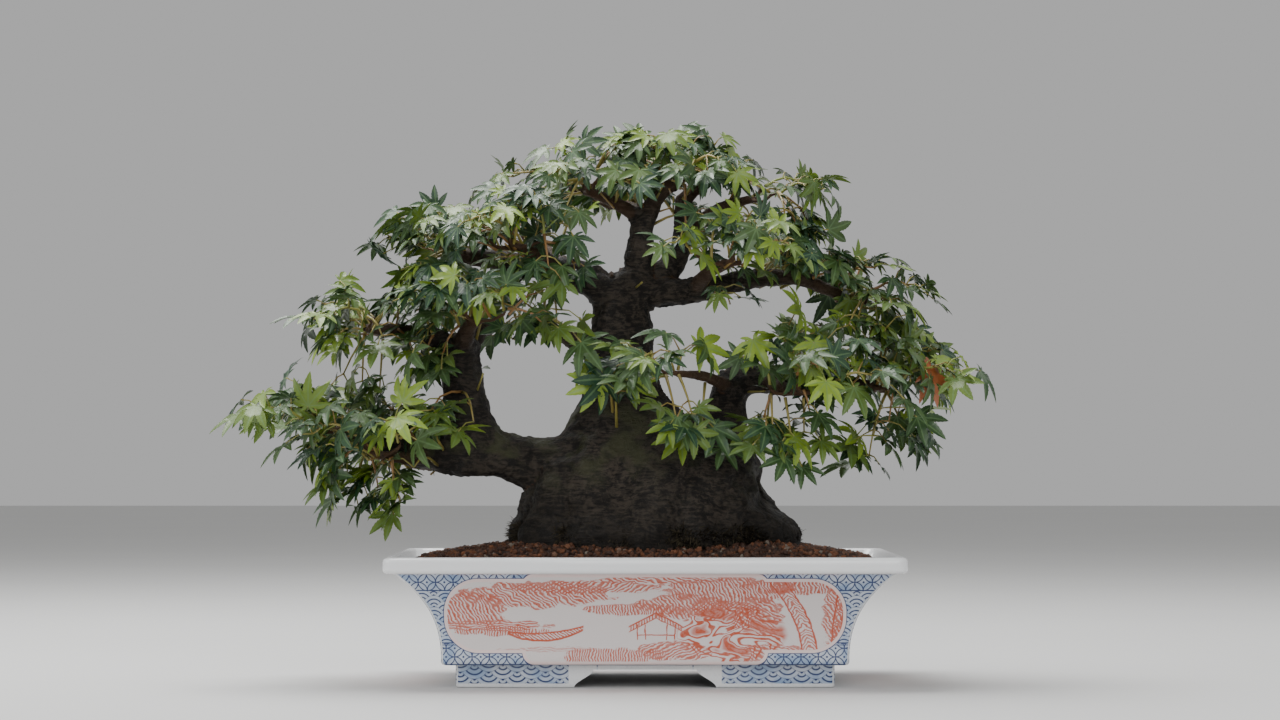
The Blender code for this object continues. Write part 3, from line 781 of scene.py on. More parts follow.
@dataclass(frozen=True)
class Hut:
    """A gabled and thatched hut on posts, in millimetres."""

    middle: float = 5.0
    pitch: float = 0.52
    ridge: float = 35.0
    thatch: float = 33.8
    eaves: float = 32.6
    roof_reach: float = 12.5
    inner_posts: float = 5.0
    outer_posts: float = 8.6
    posts_middle: float = 26.0
    posts_reach: float = 3.6
    rail_height: float = 24.6
    line: float = 0.28

    def paint(self, u: Field, v: Field) -> Field:
        """How much paint the hut takes.

        Args:
            u: the place along the wall.
            v: the height.

        Returns:
            From 0 to 1.
        """
        across = (u - self.middle).abs()
        slope = v + across * self.pitch
        edges = slope.near(self.ridge, 0.4, 0.25).high(slope.near(self.eaves, 0.26, 0.2))
        roof = edges * across.below(self.roof_reach, 0.5)
        straw = (across * 0.8).fract().below(0.55, 0.3) * slope.near(self.thatch, 1.2, 0.3)
        thatch = straw * across.below(self.roof_reach - 0.5, 0.5)
        inner = (across - self.inner_posts).near(0.0, self.line, 0.2)
        posts = inner.high((across - self.outer_posts).near(0.0, self.line, 0.2))
        standing = posts * v.near(self.posts_middle, self.posts_reach, 0.5)
        rails = v.near(self.rail_height, 0.25, 0.2) * across.below(self.outer_posts, 0.5)
        return strongest([roof, thatch * 0.9, standing, rails])


@dataclass(frozen=True)
class Boat:
    """An empty flat-bottomed boat on the water, in millimetres."""

    middle: float = -46.0
    half_length: float = 17.5
    keel: float = 22.0
    keel_bow: float = 0.014
    rail: float = 25.6
    rail_bow: float = 0.006

    def paint(self, u: Field, v: Field) -> Field:
        """How much paint the boat takes.

        Args:
            u: the place along the wall.
            v: the height.

        Returns:
            From 0 to 1.
        """
        along = u - self.middle
        keel = v - self.keel - along * along * self.keel_bow - along * 0.05
        rail = v - self.rail - along * along * self.rail_bow - along * 0.07
        planks = (along * 0.5 + v * 0.8).fract().below(0.5, 0.2)
        inside = keel.above(0.0, 0.3) * rail.below(0.0, 0.3)
        lines = [keel.near(0.0, 0.5, 0.3), rail.near(0.0, 0.4, 0.25), inside * planks]
        return along.abs().below(self.half_length, 0.6) * strongest(lines)


@dataclass(frozen=True)
class PorcelainFinish:
    """Glazed white porcelain: blue waves and rings outside a lobed window, and an iron-red landscape in it.

    Sizes and heights are in millimetres.
    """

    middle_x: float
    lip_bottom: float
    foot_top: float
    front_arch: float
    side_arch: float
    white: Colour = (0.76, 0.77, 0.78)
    blue: Colour = (0.010, 0.032, 0.130)
    wash: Colour = (0.270, 0.380, 0.560)
    ground: Colour = (0.700, 0.650, 0.640)
    red: Colour = (0.500, 0.075, 0.025)
    rose: Colour = (0.780, 0.640, 0.620)
    scale_radius: float = 5.4
    ring_radius: float = 4.0
    foot_radius: float = 6.6
    top_band: float = 7.7
    low_band: float = 9.9
    rule: float = 0.28
    fine_rule: float = 0.18
    foot_border: float = 1.8
    frame_line: float = 0.75
    frame_rule: float = 0.95
    brush_wobble: float = 1.3
    relief: float = 0.25 * MM

    def build(self) -> bpy.types.Material:
        """Paints the bands, the window and its landscape under the glaze.

        Returns:
            The material.
        """
        s = Surface("porcelain")
        x, y, z = s.axes()
        nx, ny, nz = s.facing()
        end = (nx.abs() - ny.abs()).above(0.0, 0.02)
        u = end.choose(y, x - self.middle_x)
        foot = z.below(self.foot_top, 0.1)
        margin = self.foot_margin(u, z, end)
        panels = self.waves(u, self.foot_top - z, self.foot_radius) * (1.0 - margin)
        ink = foot.choose(panels, self.bands(u, z))
        blurred = (ink + (s.noise(900.0, 2.0) - 0.5) * 0.35).share()
        blues = s.blend(s.noise(120.0, 2.0).above(0.45, 0.3) * 0.55, self.wash, self.white)
        blues = s.blend(foot * margin, blues, self.white)
        blues = s.blend(blurred, blues, self.blue)
        wide, tall = (oblong.beyond(u, z, end) for oblong in WINDOW)
        outline = wide.low(tall)
        picture = s.blend(self.landscape(s, u, z), self.ground, self.red)
        colour = s.blend(outline.below(0.0, 0.15), blues, picture)
        colour = s.blend(outline.near(0.0, self.frame_line, 0.2), colour, self.rose)
        colour = s.blend(outline.near(self.frame_rule, 0.16, 0.1), colour, self.blue)
        corner = (nx.abs() - ny.abs()).abs().below(0.22, 0.1) * (nx.abs().low(ny.abs())).above(0.2, 0.1)
        colour = s.blend(corner, colour, self.white)
        plain = z.above(self.lip_bottom - 0.2, 0.2).high(nz.abs().above(0.97, 0.02))
        colour = s.blend(plain, colour, self.white)
        s.set(Specular_IOR_Level=0.5, Coat_Weight=0.5, Coat_Roughness=0.06)
        glaze = s.noise(55.0, 3.0)
        return s.finish(colour, 0.16 + glaze * 0.12, glaze + ink * 0.05, self.relief)

    def bands(self, u: Field, z: Field) -> Field:
        """The waves on the walls, the ring bands above and below them, and the rules between.

        Args:
            u: the place along the wall.
            z: the height.

        Returns:
            1 where there is ink.
        """
        top, low = self.lip_bottom - self.top_band, self.foot_top + self.low_band
        low_rings = self.rings(u, z - self.foot_top)
        lower = z.below(low, 0.1).choose(low_rings, self.waves(u, z, self.scale_radius))
        ink = z.above(top, 0.1).choose(self.rings(u, z - self.lip_bottom), lower)
        low_rule, high_rule = (z - (low + 0.6)).abs(), (z - (top - 0.2)).abs()
        rules = low_rule.low(high_rule).low((z - self.foot_top - 0.4).abs()).below(self.rule, 0.12)
        return ink.high(rules).high((z - (low - 0.4)).abs().below(self.fine_rule, 0.1))

    def foot_margin(self, u: Field, z: Field, end: Field) -> Field:
        """The white border round the foot's painted panels.

        Args:
            u: the place along the wall.
            z: the height.
            end: 1 on the pot's short sides, 0 on its long ones.

        Returns:
            1 where the foot stays white.
        """
        arch = end * (self.side_arch - self.front_arch) + self.front_arch
        beside = (u.abs() - arch).near(-4.0, 6.5, 0.3)
        return z.below(self.foot_border, 0.2).high(beside).high(u.abs().below(self.side_arch, 1.0))

    def waves(self, u: Field, v: Field, radius: float) -> Field:
        """Rows of overlapping round scales, each with rings inside it.

        Args:
            u: the place along the wall.
            v: the height.
            radius: a scale's radius.

        Returns:
            1 where there is ink.
        """
        row = (v / (radius / 2)).floor()
        best = None
        for step in (1.0, 0.0, -1.0):
            level = row + step
            across = (u - (level * 0.5).fract() * (2.0 * radius)).wrapped(2.0 * radius)
            rise = v - level * (radius / 2)
            reach = (across * across + rise * rise).sqrt() / radius
            best = reach if best is None else reach.below(1.0, 0.001).choose(reach, best)
        lines = (best * 2.9 + 0.5).fract()
        return lines.near(0.5, 0.17, 0.16).high(best.below(0.12, 0.06))

    def rings(self, u: Field, v: Field) -> Field:
        """A net of rings that overlap into four-petalled flowers, with a dot in each gap.

        Args:
            u: the place along the wall.
            v: the height above the band's edge.

        Returns:
            1 where there is ink.
        """
        pitch = 2.0 * self.ring_radius
        nets = []
        for shift in (0.0, self.ring_radius):
            across, rise = (u - shift).wrapped(pitch), (v - shift).wrapped(pitch)
            reach = (across * across + rise * rise).sqrt()
            nets.append(reach.near(self.ring_radius, 0.26, 0.2).high(reach.below(0.5, 0.2)))
        return strongest(nets)

    def landscape(self, s: Surface, u: Field, v: Field) -> Field:
        """A generic lakeside: hills, rocks, woods, pines, a hut, an empty boat and reeds, in brush strokes.

        Args:
            s: the surface.
            u: the place along the wall.
            v: the height.

        Returns:
            How much paint there is, from 0 to 1.
        """
        wobble = (s.noise(300.0, 3.0) - 0.5) * self.brush_wobble
        u, v = u + wobble, v + wobble * 0.7
        edge = (s.noise(1.0, 4.0, 0.6, at=s.point(u * 0.11, v * 0.22, v * 0.0)) - 0.5) * 3.0
        drift = s.noise(1.0, 2.0, at=s.point(u * 0.16, v * 0.24, v * 0.0)) * 3.0
        hills = [patch.paint(u, v, edge, drift) for patch in PATCHES]
        pines = strongest([stem.paint(u, v, drift) for stem in PINES])
        paint = strongest([Rocks().paint(s, u, v), *hills, pines, Hut().paint(u, v), Boat().paint(u, v)])
        dry_brush = 0.68 + s.noise(520.0, 3.0, 0.6) * 0.6
        return (paint * dry_brush).low(1.0)


# ---- Mesh building -------------------------------------------------------------------------------------


@dataclass
class Soup:
    """Points and faces gathered for one mesh, with a tint for each point and a finish for each face."""

    points: list[tuple[float, float, float]] = field(default_factory=list)
    tints: list[tuple[float, float, float, float]] = field(default_factory=list)
    faces: list[tuple[int, ...]] = field(default_factory=list)
    finishes: list[int] = field(default_factory=list)

    def add(self, place: Vector, tint: Colour) -> int:
        """Adds a point.

        Args:
            place: where it lies.
            tint: its tint.

        Returns:
            The point's number.
        """
        self.points.append(tuple(place))
        self.tints.append((*tint, 1.0))
        return len(self.points) - 1

    def face(self, corners: tuple[int, ...], finish: int) -> None:
        """Adds a face."""
        self.faces.append(corners)
        self.finishes.append(finish)

    def tube(
        self, path: list[Vector], radii: Sequence[float], sides: int, tint: Colour, finish: int
    ) -> None:
        """Adds a closed round bar.

        Args:
            path: the points along its middle.
            radii: its radius at each of them.
            sides: the number of sides.
            tint: the colour of its points.
            finish: its material's place.
        """
        side = None
        rings = []
        for i, place in enumerate(path):
            ahead = path[min(i + 1, len(path) - 1)] - path[max(i - 1, 0)]
            side = ahead.orthogonal() if side is None else side
            side = (side - side.project(ahead)).normalized()
            other = ahead.normalized().cross(side)
            ring = []
            for k in range(sides):
                turn = math.tau * k / sides
                spoke = math.cos(turn) * side + math.sin(turn) * other
                ring.append(self.add(place + radii[i] * spoke, tint))
            rings.append(ring)
        for lower, upper in zip(rings, rings[1:]):
            for k in range(sides):
                j = (k + 1) % sides
                self.face((lower[k], lower[j], upper[j], upper[k]), finish)
        self.face(tuple(reversed(rings[0])), finish)
        self.face(tuple(rings[-1]), finish)

    def build(self, name: str, materials: list[bpy.types.Material]) -> bpy.types.Object:
        """Makes the object of these points and faces.

        Args:
            name: its name.
            materials: its finishes, in the order of the faces' places.

        Returns:
            The object.
        """
        mesh = bpy.data.meshes.new(name)
        mesh.from_pydata(self.points, [], self.faces)
        colours = mesh.attributes.new("tint", "FLOAT_COLOR", "POINT")
        colours.data.foreach_set("color", np.array(self.tints, np.float32).ravel())
        for material in materials:
            mesh.materials.append(material)
        mesh.polygons.foreach_set("material_index", np.array(self.finishes, np.int32))
        mesh.shade_smooth()
        mesh.update()
        return placed(name, mesh)


def placed(name: str, mesh: bpy.types.Mesh) -> bpy.types.Object:
    """Puts a mesh in the scene.

    Args:
        name: the object's name.
        mesh: its mesh.

    Returns:
        The object.
    """
    piece = bpy.data.objects.new(name, mesh)
    bpy.context.scene.collection.objects.link(piece)
    return piece


def enlist(piece: bpy.types.Object, slot: Slot, *nodes: str) -> bpy.types.Object:
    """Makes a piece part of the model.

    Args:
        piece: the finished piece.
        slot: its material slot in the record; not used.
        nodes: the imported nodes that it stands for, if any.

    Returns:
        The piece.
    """
    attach(piece, ROOT)
    if nodes:
        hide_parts(*nodes)
    LOG.info("%s: %d faces", piece.name, len(piece.data.polygons))
    return piece


def from_bmesh(name: str, bm: bmesh.types.BMesh, smooth_angle: float = 40.0) -> bpy.types.Object:
    """Makes the object that holds a bmesh's faces, turned to face out.

    Args:
        name: its name.
        bm: the faces, which are freed.
        smooth_angle: the sharpest edge that is shaded smooth, in degrees.

    Returns:
        The object.
    """
    bmesh.ops.recalc_face_normals(bm, faces=bm.faces)
    mesh = bpy.data.meshes.new(name)
    bm.to_mesh(mesh)
    bm.free()
    mesh.shade_smooth()
    mesh.set_sharp_from_angle(angle=math.radians(smooth_angle))
    return placed(name, mesh)


def loft(bm: bmesh.types.BMesh, rings: list[list[Vector]], around: bool = False) -> None:
    """Adds a closed skin through rings of equally many points.

    Args:
        bm: the mesh under construction.
        rings: the rings, in order.
        around: joins the last ring to the first, instead of capping both.
    """
    loops = [[bm.verts.new(place) for place in ring] for ring in rings]
    for lower, upper in zip(loops, [*loops[1:], loops[0]] if around else loops[1:]):
        for i in range(len(lower)):
            j = (i + 1) % len(lower)
            bm.faces.new((lower[i], lower[j], upper[j], upper[i]))
    if not around:
        bm.faces.new(reversed(loops[0]))
        bm.faces.new(loops[-1])


def baked(piece: bpy.types.Object) -> bpy.types.Object:
    """Applies a piece's modifiers to its mesh.

    Args:
        piece: the piece.

    Returns:
        The same piece, without modifiers.
    """
    graph = bpy.context.evaluated_depsgraph_get()
    mesh = bpy.data.meshes.new_from_object(piece.evaluated_get(graph))
    piece.modifiers.clear()
    piece.data = mesh
    return piece


def tree_of(node: str) -> BVHTree:
    """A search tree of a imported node's faces."""
    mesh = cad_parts[node].data
    return BVHTree.FromPolygons([v.co for v in mesh.vertices], [tuple(p.vertices) for p in mesh.polygons])


def scatter(dice: random.Random, spread: float) -> Vector:
    """A random vector with this standard deviation along each axis."""
    return Vector([dice.gauss(0, spread) for _ in range(3)])


def held(value: float) -> float:
    """A number held between 0 and 1."""
    return max(0.0, min(1.0, value))


# ---- The pot -------------------------------------------------------------------------------------------


@dataclass
class Pot:
    """The porcelain body: flared walls, a rolled white lip, and a foot frame with an ogee arch in each side.

    Heights are above the ground, and insets are measured from the rim.
    """

    lip_height: float = 7.5 * MM
    lip_overhang: float = 5.0 * MM
    lip_rounding: float = 2.2 * MM
    lip_corner: float = 5.0 * MM
    base_inset: float = 25.5 * MM
    flare_power: float = 2.6
    wall: float = 5.5 * MM
    floor: float = 6.0 * MM
    body_corner: float = 2.5 * MM
    foot_height: float = 10.5 * MM
    foot_inset: float = 6.5 * MM
    foot_thickness: float = 9.0 * MM
    arch_height: float = 8.2 * MM
    arch_run: float = 9.0 * MM
    front_arch: float = 66.0 * MM
    side_arch: float = 44.0 * MM
    drain_spacing: float = 104.0 * MM
    drain_radius: float = 9.0 * MM
    drain_sides: int = 48
    corner_steps: int = 6
    wall_steps: int = 26
    arch_steps: int = 10
    crease_angle: float = 50.0

    def __post_init__(self) -> None:
        """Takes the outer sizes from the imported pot."""
        low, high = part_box("pot")
        self.middle = Vector(((low.x + high.x) / 2, (low.y + high.y) / 2, 0))
        self.half_x, self.half_y, self.height = (high.x - low.x) / 2, (high.y - low.y) / 2, high.z
        self.throat = self.height - self.lip_height

    def inset(self, z: float) -> float:
        """How far inside the rim the wall's outer face lies at a height."""
        share = held((z - self.foot_height) / (self.throat - self.foot_height))
        return self.base_inset + (self.lip_overhang - self.base_inset) * share**self.flare_power

    def ring(self, inset: float, z: float, corner: float) -> list[Vector]:
        """A level ring of the pot.

        Args:
            inset: how far it lies inside the rim.
            z: its height.
            corner: its corners' radius.

        Returns:
            Its points, anticlockwise from above.
        """
        half_x, half_y = self.half_x - inset, self.half_y - inset
        points = []
        for quadrant, (sx, sy) in enumerate(((1, 1), (-1, 1), (-1, -1), (1, -1))):
            hub = Vector((sx * (half_x - corner), sy * (half_y - corner), z))
            for step in range(self.corner_steps + 1):
                turn = math.radians(90 * (quadrant + step / self.corner_steps))
                points.append(self.middle + hub + corner * Vector((math.cos(turn), math.sin(turn), 0)))
        return points

    def heights(self, low: float, high: float) -> list[float]:
        """Evenly spaced heights between two, both included."""
        return [low + (high - low) * step / self.wall_steps for step in range(self.wall_steps + 1)]

    def body(self) -> bpy.types.Object:
        """Lofts the hollow body without its foot: up the outside, over the lip and down the inside.

        Returns:
            The body.
        """
        rings = [
            self.ring(self.base_inset + 1.6 * MM, self.foot_height, self.body_corner),
            self.ring(self.base_inset + 0.5 * MM, self.foot_height + 0.4 * MM, self.body_corner),
        ]
        rings += [
            self.ring(self.inset(z), z, self.body_corner)
            for z in self.heights(self.foot_height + 1.5 * MM, self.throat)
        ]
        rings.append(self.ring(self.lip_overhang * 0.7, self.throat + 0.15 * MM, self.lip_corner))
        lower, upper = self.throat + self.lip_rounding, self.height - self.lip_rounding
        for hub, first, stride in ((lower, -75, 15), (upper, 0, 18)):
            for step in range(6):
                turn = math.radians(first + stride * step)
                reach = self.lip_rounding * (1 - math.cos(turn))
                rings.append(self.ring(reach, hub + self.lip_rounding * math.sin(turn), self.lip_corner))
        for reach, drop in ((0.72, 0.0), (0.9, 0.25), (1.0, 1.0)):
            rings.append(self.ring(self.wall * reach, self.height - drop * MM, self.lip_corner))
        floor_top = self.foot_height + self.floor
        inner = self.heights(floor_top, self.throat - 1.0 * MM)
        rings += [self.ring(self.inset(z) + self.wall, z, self.body_corner) for z in reversed(inner)]
        bm = bmesh.new()
        loft(bm, rings)
        return from_bmesh("porcelain_pot", bm, self.crease_angle)

    def foot(self) -> bpy.types.Object:
        """Makes the foot frame and cuts its arches.

        Returns:
            The foot, whose top stands in the body's floor.
        """
        near = self.base_inset + self.foot_inset
        far = near + self.foot_thickness
        top = self.foot_height + self.floor / 2
        rings = [
            self.ring(near + 0.5 * MM, 0.0, self.body_corner),
            self.ring(near, 0.6 * MM, self.body_corner),
            self.ring(near, top, self.body_corner),
            self.ring(far, top, self.body_corner),
            self.ring(far, 0.0, self.body_corner),
        ]
        bm = bmesh.new()
        loft(bm, rings, around=True)
        piece = from_bmesh("pot_foot", bm)
        for name, width, along in (
            ("front_arch", self.front_arch, Vector((0, 4 * self.half_y, 0))),
            ("side_arch", self.side_arch, Vector((4 * self.half_x, 0, 0))),
        ):
            self.join(piece, "DIFFERENCE", self.arch(name, width, along))
        return baked(piece)

    def arch(self, name: str, width: float, along: Vector) -> bpy.types.Object:
        """Makes the bar that cuts an arch, with ogee flanks, laid through the foot from side to side.

        Args:
            name: the bar's name.
            width: the arch's width at the ground.
            along: the bar's length and direction.

        Returns:
            The bar.
        """
        flank = []
        for step in range(self.arch_steps + 1):
            share = step / self.arch_steps
            ease = share * share * (3 - 2 * share)
            flank.append((width / 2 - self.arch_run * ease, self.arch_height * share))
        outline = [(-width / 2, -self.arch_height), (width / 2, -self.arch_height), *flank]
        outline += [(-x, z) for x, z in reversed(flank)]
        across = Vector((along.y, along.x, 0)).normalized()
        ends = [
            [self.middle + side * along + across * x + Vector((0, 0, z)) for x, z in outline]
            for side in (-0.5, 0.5)
        ]
        bm = bmesh.new()
        loft(bm, ends)
        return from_bmesh(name, bm)

    def join(self, piece: bpy.types.Object, operation: str, tool: bpy.types.Object) -> None:
        """Cuts a tool from a piece or joins it on, and throws the tool away.

        Args:
            piece: the piece that changes.
            operation: DIFFERENCE to cut, UNION to join.
            tool: the tool.
        """
        modifier = piece.modifiers.new(operation, "BOOLEAN")
        modifier.operation = operation
        modifier.solver = "EXACT"
        modifier.object = tool
        baked(piece)
        bpy.data.objects.remove(tool)

    def build(self) -> bpy.types.Object:
        """Joins body and foot, bores the drain holes and glazes the pot.

        Returns:
            The pot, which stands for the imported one.
        """
        piece = self.body()
        self.join(piece, "UNION", self.foot())
        for side in (-1, 1):
            bm = bmesh.new()
            hub = self.middle + Vector((side * self.drain_spacing / 2, 0, 0))
            turns = [math.tau * k / self.drain_sides for k in range(self.drain_sides)]
            spokes = [self.drain_radius * Vector((math.cos(turn), math.sin(turn), 0)) for turn in turns]
            levels = (self.foot_height / 2 * UP, (self.foot_height + 2 * self.floor) * UP)
            loft(bm, [[hub + spoke + level for spoke in spokes] for level in levels])
            self.join(piece, "DIFFERENCE", from_bmesh("drain", bm))
        piece.data.shade_smooth()
        piece.data.set_sharp_from_angle(angle=math.radians(self.crease_angle))
        finish = PorcelainFinish(
            middle_x=self.middle.x / MM,
            lip_bottom=self.throat / MM,
            foot_top=self.foot_height / MM,
            front_arch=self.front_arch / 2 / MM,
            side_arch=self.side_arch / 2 / MM,
        )
        piece.data.materials.clear()
        piece.data.materials.append(finish.build())
        return enlist(piece, Slot.PORCELAIN, "pot")


# ---- Soil and drainage ---------------------------------------------------------------------------------


@dataclass
class Soil:
    """The bed of clay, and the loose granules on top of it."""

    throws: int = 6800
    small: float = 0.8 * MM
    large: float = 1.55 * MM
    edge: float = 1.0 * MM
    steepest: float = 0.5
    clear_of_wood: float = 1.2 * MM
    probe: tuple[float, float, float] = (0.31, 0.17, 0.94)
    bed: GrainFinish = GrainFinish(brown=(0.030, 0.014, 0.009), orange=(0.08, 0.035, 0.016))
    seed: int = 5

    def build(self) -> None:
        """Dresses the bed and strews the granules."""
        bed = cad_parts["soil"]
        bed.data.materials.clear()
        bed.data.materials.append(self.bed.build("soil_bed"))
        enlist(self.granules(), Slot.SOIL)

    def in_wood(self, wood: BVHTree, place: Vector) -> bool:
        """Whether a place just above the bed is inside the wood.

        Args:
            wood: the wood's faces.
            place: a place on the bed.

        Returns:
            True where the first face that a probe meets is seen from inside.
        """
        probe = Vector(self.probe).normalized()
        _, face_out, _, _ = wood.ray_cast(place + self.clear_of_wood * UP, probe)
        return face_out is not None and face_out.dot(probe) > 0

    def granules(self) -> bpy.types.Object:
        """Makes one mesh of jittered, angular granules that lie on the bed clear of the wood.

        Returns:
            The granules.
        """
        dice = random.Random(self.seed)
        bm = bmesh.new()
        bmesh.ops.create_icosphere(bm, subdivisions=1, radius=1.0)
        unit = np.array([v.co for v in bm.verts])
        bm.verts.index_update()
        sides = [tuple(v.index for v in f.verts) for f in bm.faces]
        bm.free()
        bed, wood = tree_of("soil"), tree_of("trunk_and_branches")
        low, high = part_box("soil")
        spots, faces, shades = [], [], []
        for _ in range(self.throws):
            x = dice.uniform(low.x + self.edge, high.x - self.edge)
            y = dice.uniform(low.y + self.edge, high.y - self.edge)
            place, normal, _, _ = bed.ray_cast(Vector((x, y, high.z + 5 * MM)), -UP)
            shade = dice.random()
            if place is None or normal.z < self.steepest or self.in_wood(wood, place):
                continue
            size = dice.uniform(self.small, self.large) * (1.15 if dice.random() < 0.12 else 1.0)
            spin = dice.uniform(0, math.tau)
            turn = Matrix.Rotation(spin, 3, (dice.random(), dice.random(), dice.random() + 0.1))
            shape = unit * np.array([dice.uniform(0.7, 1.15) for _ in range(3)])
            shape = shape * np.array([[dice.uniform(0.78, 1.16)] for _ in range(len(unit))])
            centre = place + size * dice.uniform(-0.1, 0.75) * UP
            faces += [tuple(len(spots) * len(unit) + k for k in side) for side in sides]
            spots.append((shape @ np.array(turn)) * size + np.array(centre))
            shades.append(shade)
        mesh = bpy.data.meshes.new("clay_granules")
        mesh.from_pydata(np.vstack(spots).tolist(), [], faces)
        mark = mesh.attributes.new("shade", "FLOAT", "POINT")
        mark.data.foreach_set("value", np.repeat(shades, len(unit)).astype(np.float32))
        mesh.materials.append(GrainFinish().build("clay_granules"))
        return placed("clay_granules", mesh)


@dataclass
class Drainage:
    """The two mesh screens over the drain holes, and their wire staples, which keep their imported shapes."""

    def build(self) -> None:
        """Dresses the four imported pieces."""
        plastic, wire = PlasticFinish().build(), WireFinish().build()
        for where in ("left", "right"):
            for name, material in ((f"drain_screen_{where}", plastic), (f"screen_staple_{where}", wire)):
                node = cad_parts[name]
                node.data.materials.clear()
                node.data.materials.append(material)
                LOG.info("%s: dressed", name)


# ---- Wood ----------------------------------------------------------------------------------------------


@dataclass
class Wood:
    """Trunk, limbs and twigs in one skin, with flutes at the root, folds at the neck and wrinkles all over.

    Each scale is in features to the metre, and each depth is how far the bark moves in or out.
    """

    grid: float = 1.32 * MM
    smoothing: int = 12
    thin_below: float = 7.0 * MM
    flutes: int = 11
    flute_foot: float = 62.0 * MM
    flute_top: float = 132.0 * MM
    flute_depth: float = 4.6 * MM
    heart: float = 19.0 * MM
    full_relief: float = 34.0 * MM
    full_wrinkles: float = 10.0 * MM
    bend_scale: float = 30.0
    bend_reach: float = 12.0 * MM
    swell_scale: float = 38.0
    swell_depth: float = 4.4 * MM
    fold_scale: float = 55.0
    fold_pitch: float = 90.0
    fold_depth: float = 2.4 * MM
    knot_scale: float = 130.0
    knot_depth: float = 1.1 * MM
    wrinkle_scale: float = 150.0
    wrinkle_pitch: float = 620.0
    wrinkle_depth: float = 1.1 * MM

    def build(self) -> bpy.types.Object:
        """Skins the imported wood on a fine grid, eases its facets and gives it its bark.

        Returns:
            The wood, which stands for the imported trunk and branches.
        """
        node = "trunk_and_branches"
        piece = placed("maple_wood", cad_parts[node].data.copy())
        remesh = piece.modifiers.new("skin", "REMESH")
        remesh.mode = "VOXEL"
        remesh.voxel_size = self.grid
        smooth = piece.modifiers.new("ease", "SMOOTH")
        smooth.iterations = self.smoothing
        smooth.factor = 0.5
        baked(piece)
        self.carve(piece.data, tree_of(node))
        piece.data.materials.clear()
        piece.data.materials.append(BarkFinish().build())
        piece.data.shade_smooth()
        return enlist(piece, Slot.BARK, node)

    def carve(self, mesh: bpy.types.Mesh, solid: BVHTree) -> None:
        """Moves the skin's points out and in as the bark does, and marks the thin wood.

        Args:
            mesh: the wood's mesh.
            solid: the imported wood, to measure how thick the wood is under each point.
        """
        mesh.update()
        thin = []
        moved = []
        for vert in mesh.vertices:
            normal = vert.normal
            inside = vert.co - normal * 0.8 * MM
            hit, _, _, reach = solid.ray_cast(inside, -normal)
            thick = reach if hit is not None else self.thin_below
            thin.append(held(1.4 - thick / self.thin_below))
            moved.append(vert.co + normal * self.relief(vert.co, thick))
        mesh.vertices.foreach_set("co", np.array(moved, np.float32).ravel())
        mark = mesh.attributes.new("thin", "FLOAT", "POINT")
        mark.data.foreach_set("value", np.array(thin, np.float32))
        mesh.update()

    def crease(self, place: Vector, level: float, upright: float, shift: Vector) -> float:
        """How far a place is from the nearest of many creases.

        Args:
            place: the place.
            level: how fast the creases change along X and Y.
            upright: how fast they change along Z.
            shift: moves the pattern, in its own units.

        Returns:
            0 on a crease, and up to about 1 between them.
        """
        return abs(noise.noise(Vector((place.x * level, place.y * level, place.z * upright)) + shift))

    def relief(self, place: Vector, thick: float) -> float:
        """How far the bark stands out at a place.

        Args:
            place: the place on the eased skin.
            thick: the wood's thickness there.

        Returns:
            Metres, below 0 in a hollow.
        """
        bent = place * self.bend_scale
        bend = Vector((noise.noise(bent), noise.noise(bent + Vector((5, 0, 0))), 0))
        spot = place + bend * self.bend_reach
        swell = noise.noise(spot * self.swell_scale) * self.swell_depth
        fold = 0.45 - self.crease(spot, self.fold_scale, self.fold_pitch, Vector((7, 0, 0))) * 1.6
        knot = 0.4 - self.crease(spot, self.knot_scale, self.knot_scale, Vector((0, 3, 0))) * 1.3
        wrap = noise.noise(place * 45.0 + Vector((0, 9, 0))) * 14.0
        wrinkle = self.crease(place, self.wrinkle_scale, self.wrinkle_pitch, wrap * UP)
        fade = held((self.flute_top - place.z) / (self.flute_top - self.flute_foot))
        turn = math.atan2(place.y, place.x - self.heart)
        wave = abs(math.sin(self.flutes * turn / 2 + 3.0 * noise.noise(place * 18.0)))
        flute = (wave - 0.55) * self.flute_depth * fade
        broad = swell + fold * self.fold_depth + flute
        fine = knot * self.knot_depth - wrinkle * self.wrinkle_depth
        return broad * min(1.0, thick / self.full_relief) + fine * min(1.0, thick / self.full_wrinkles)


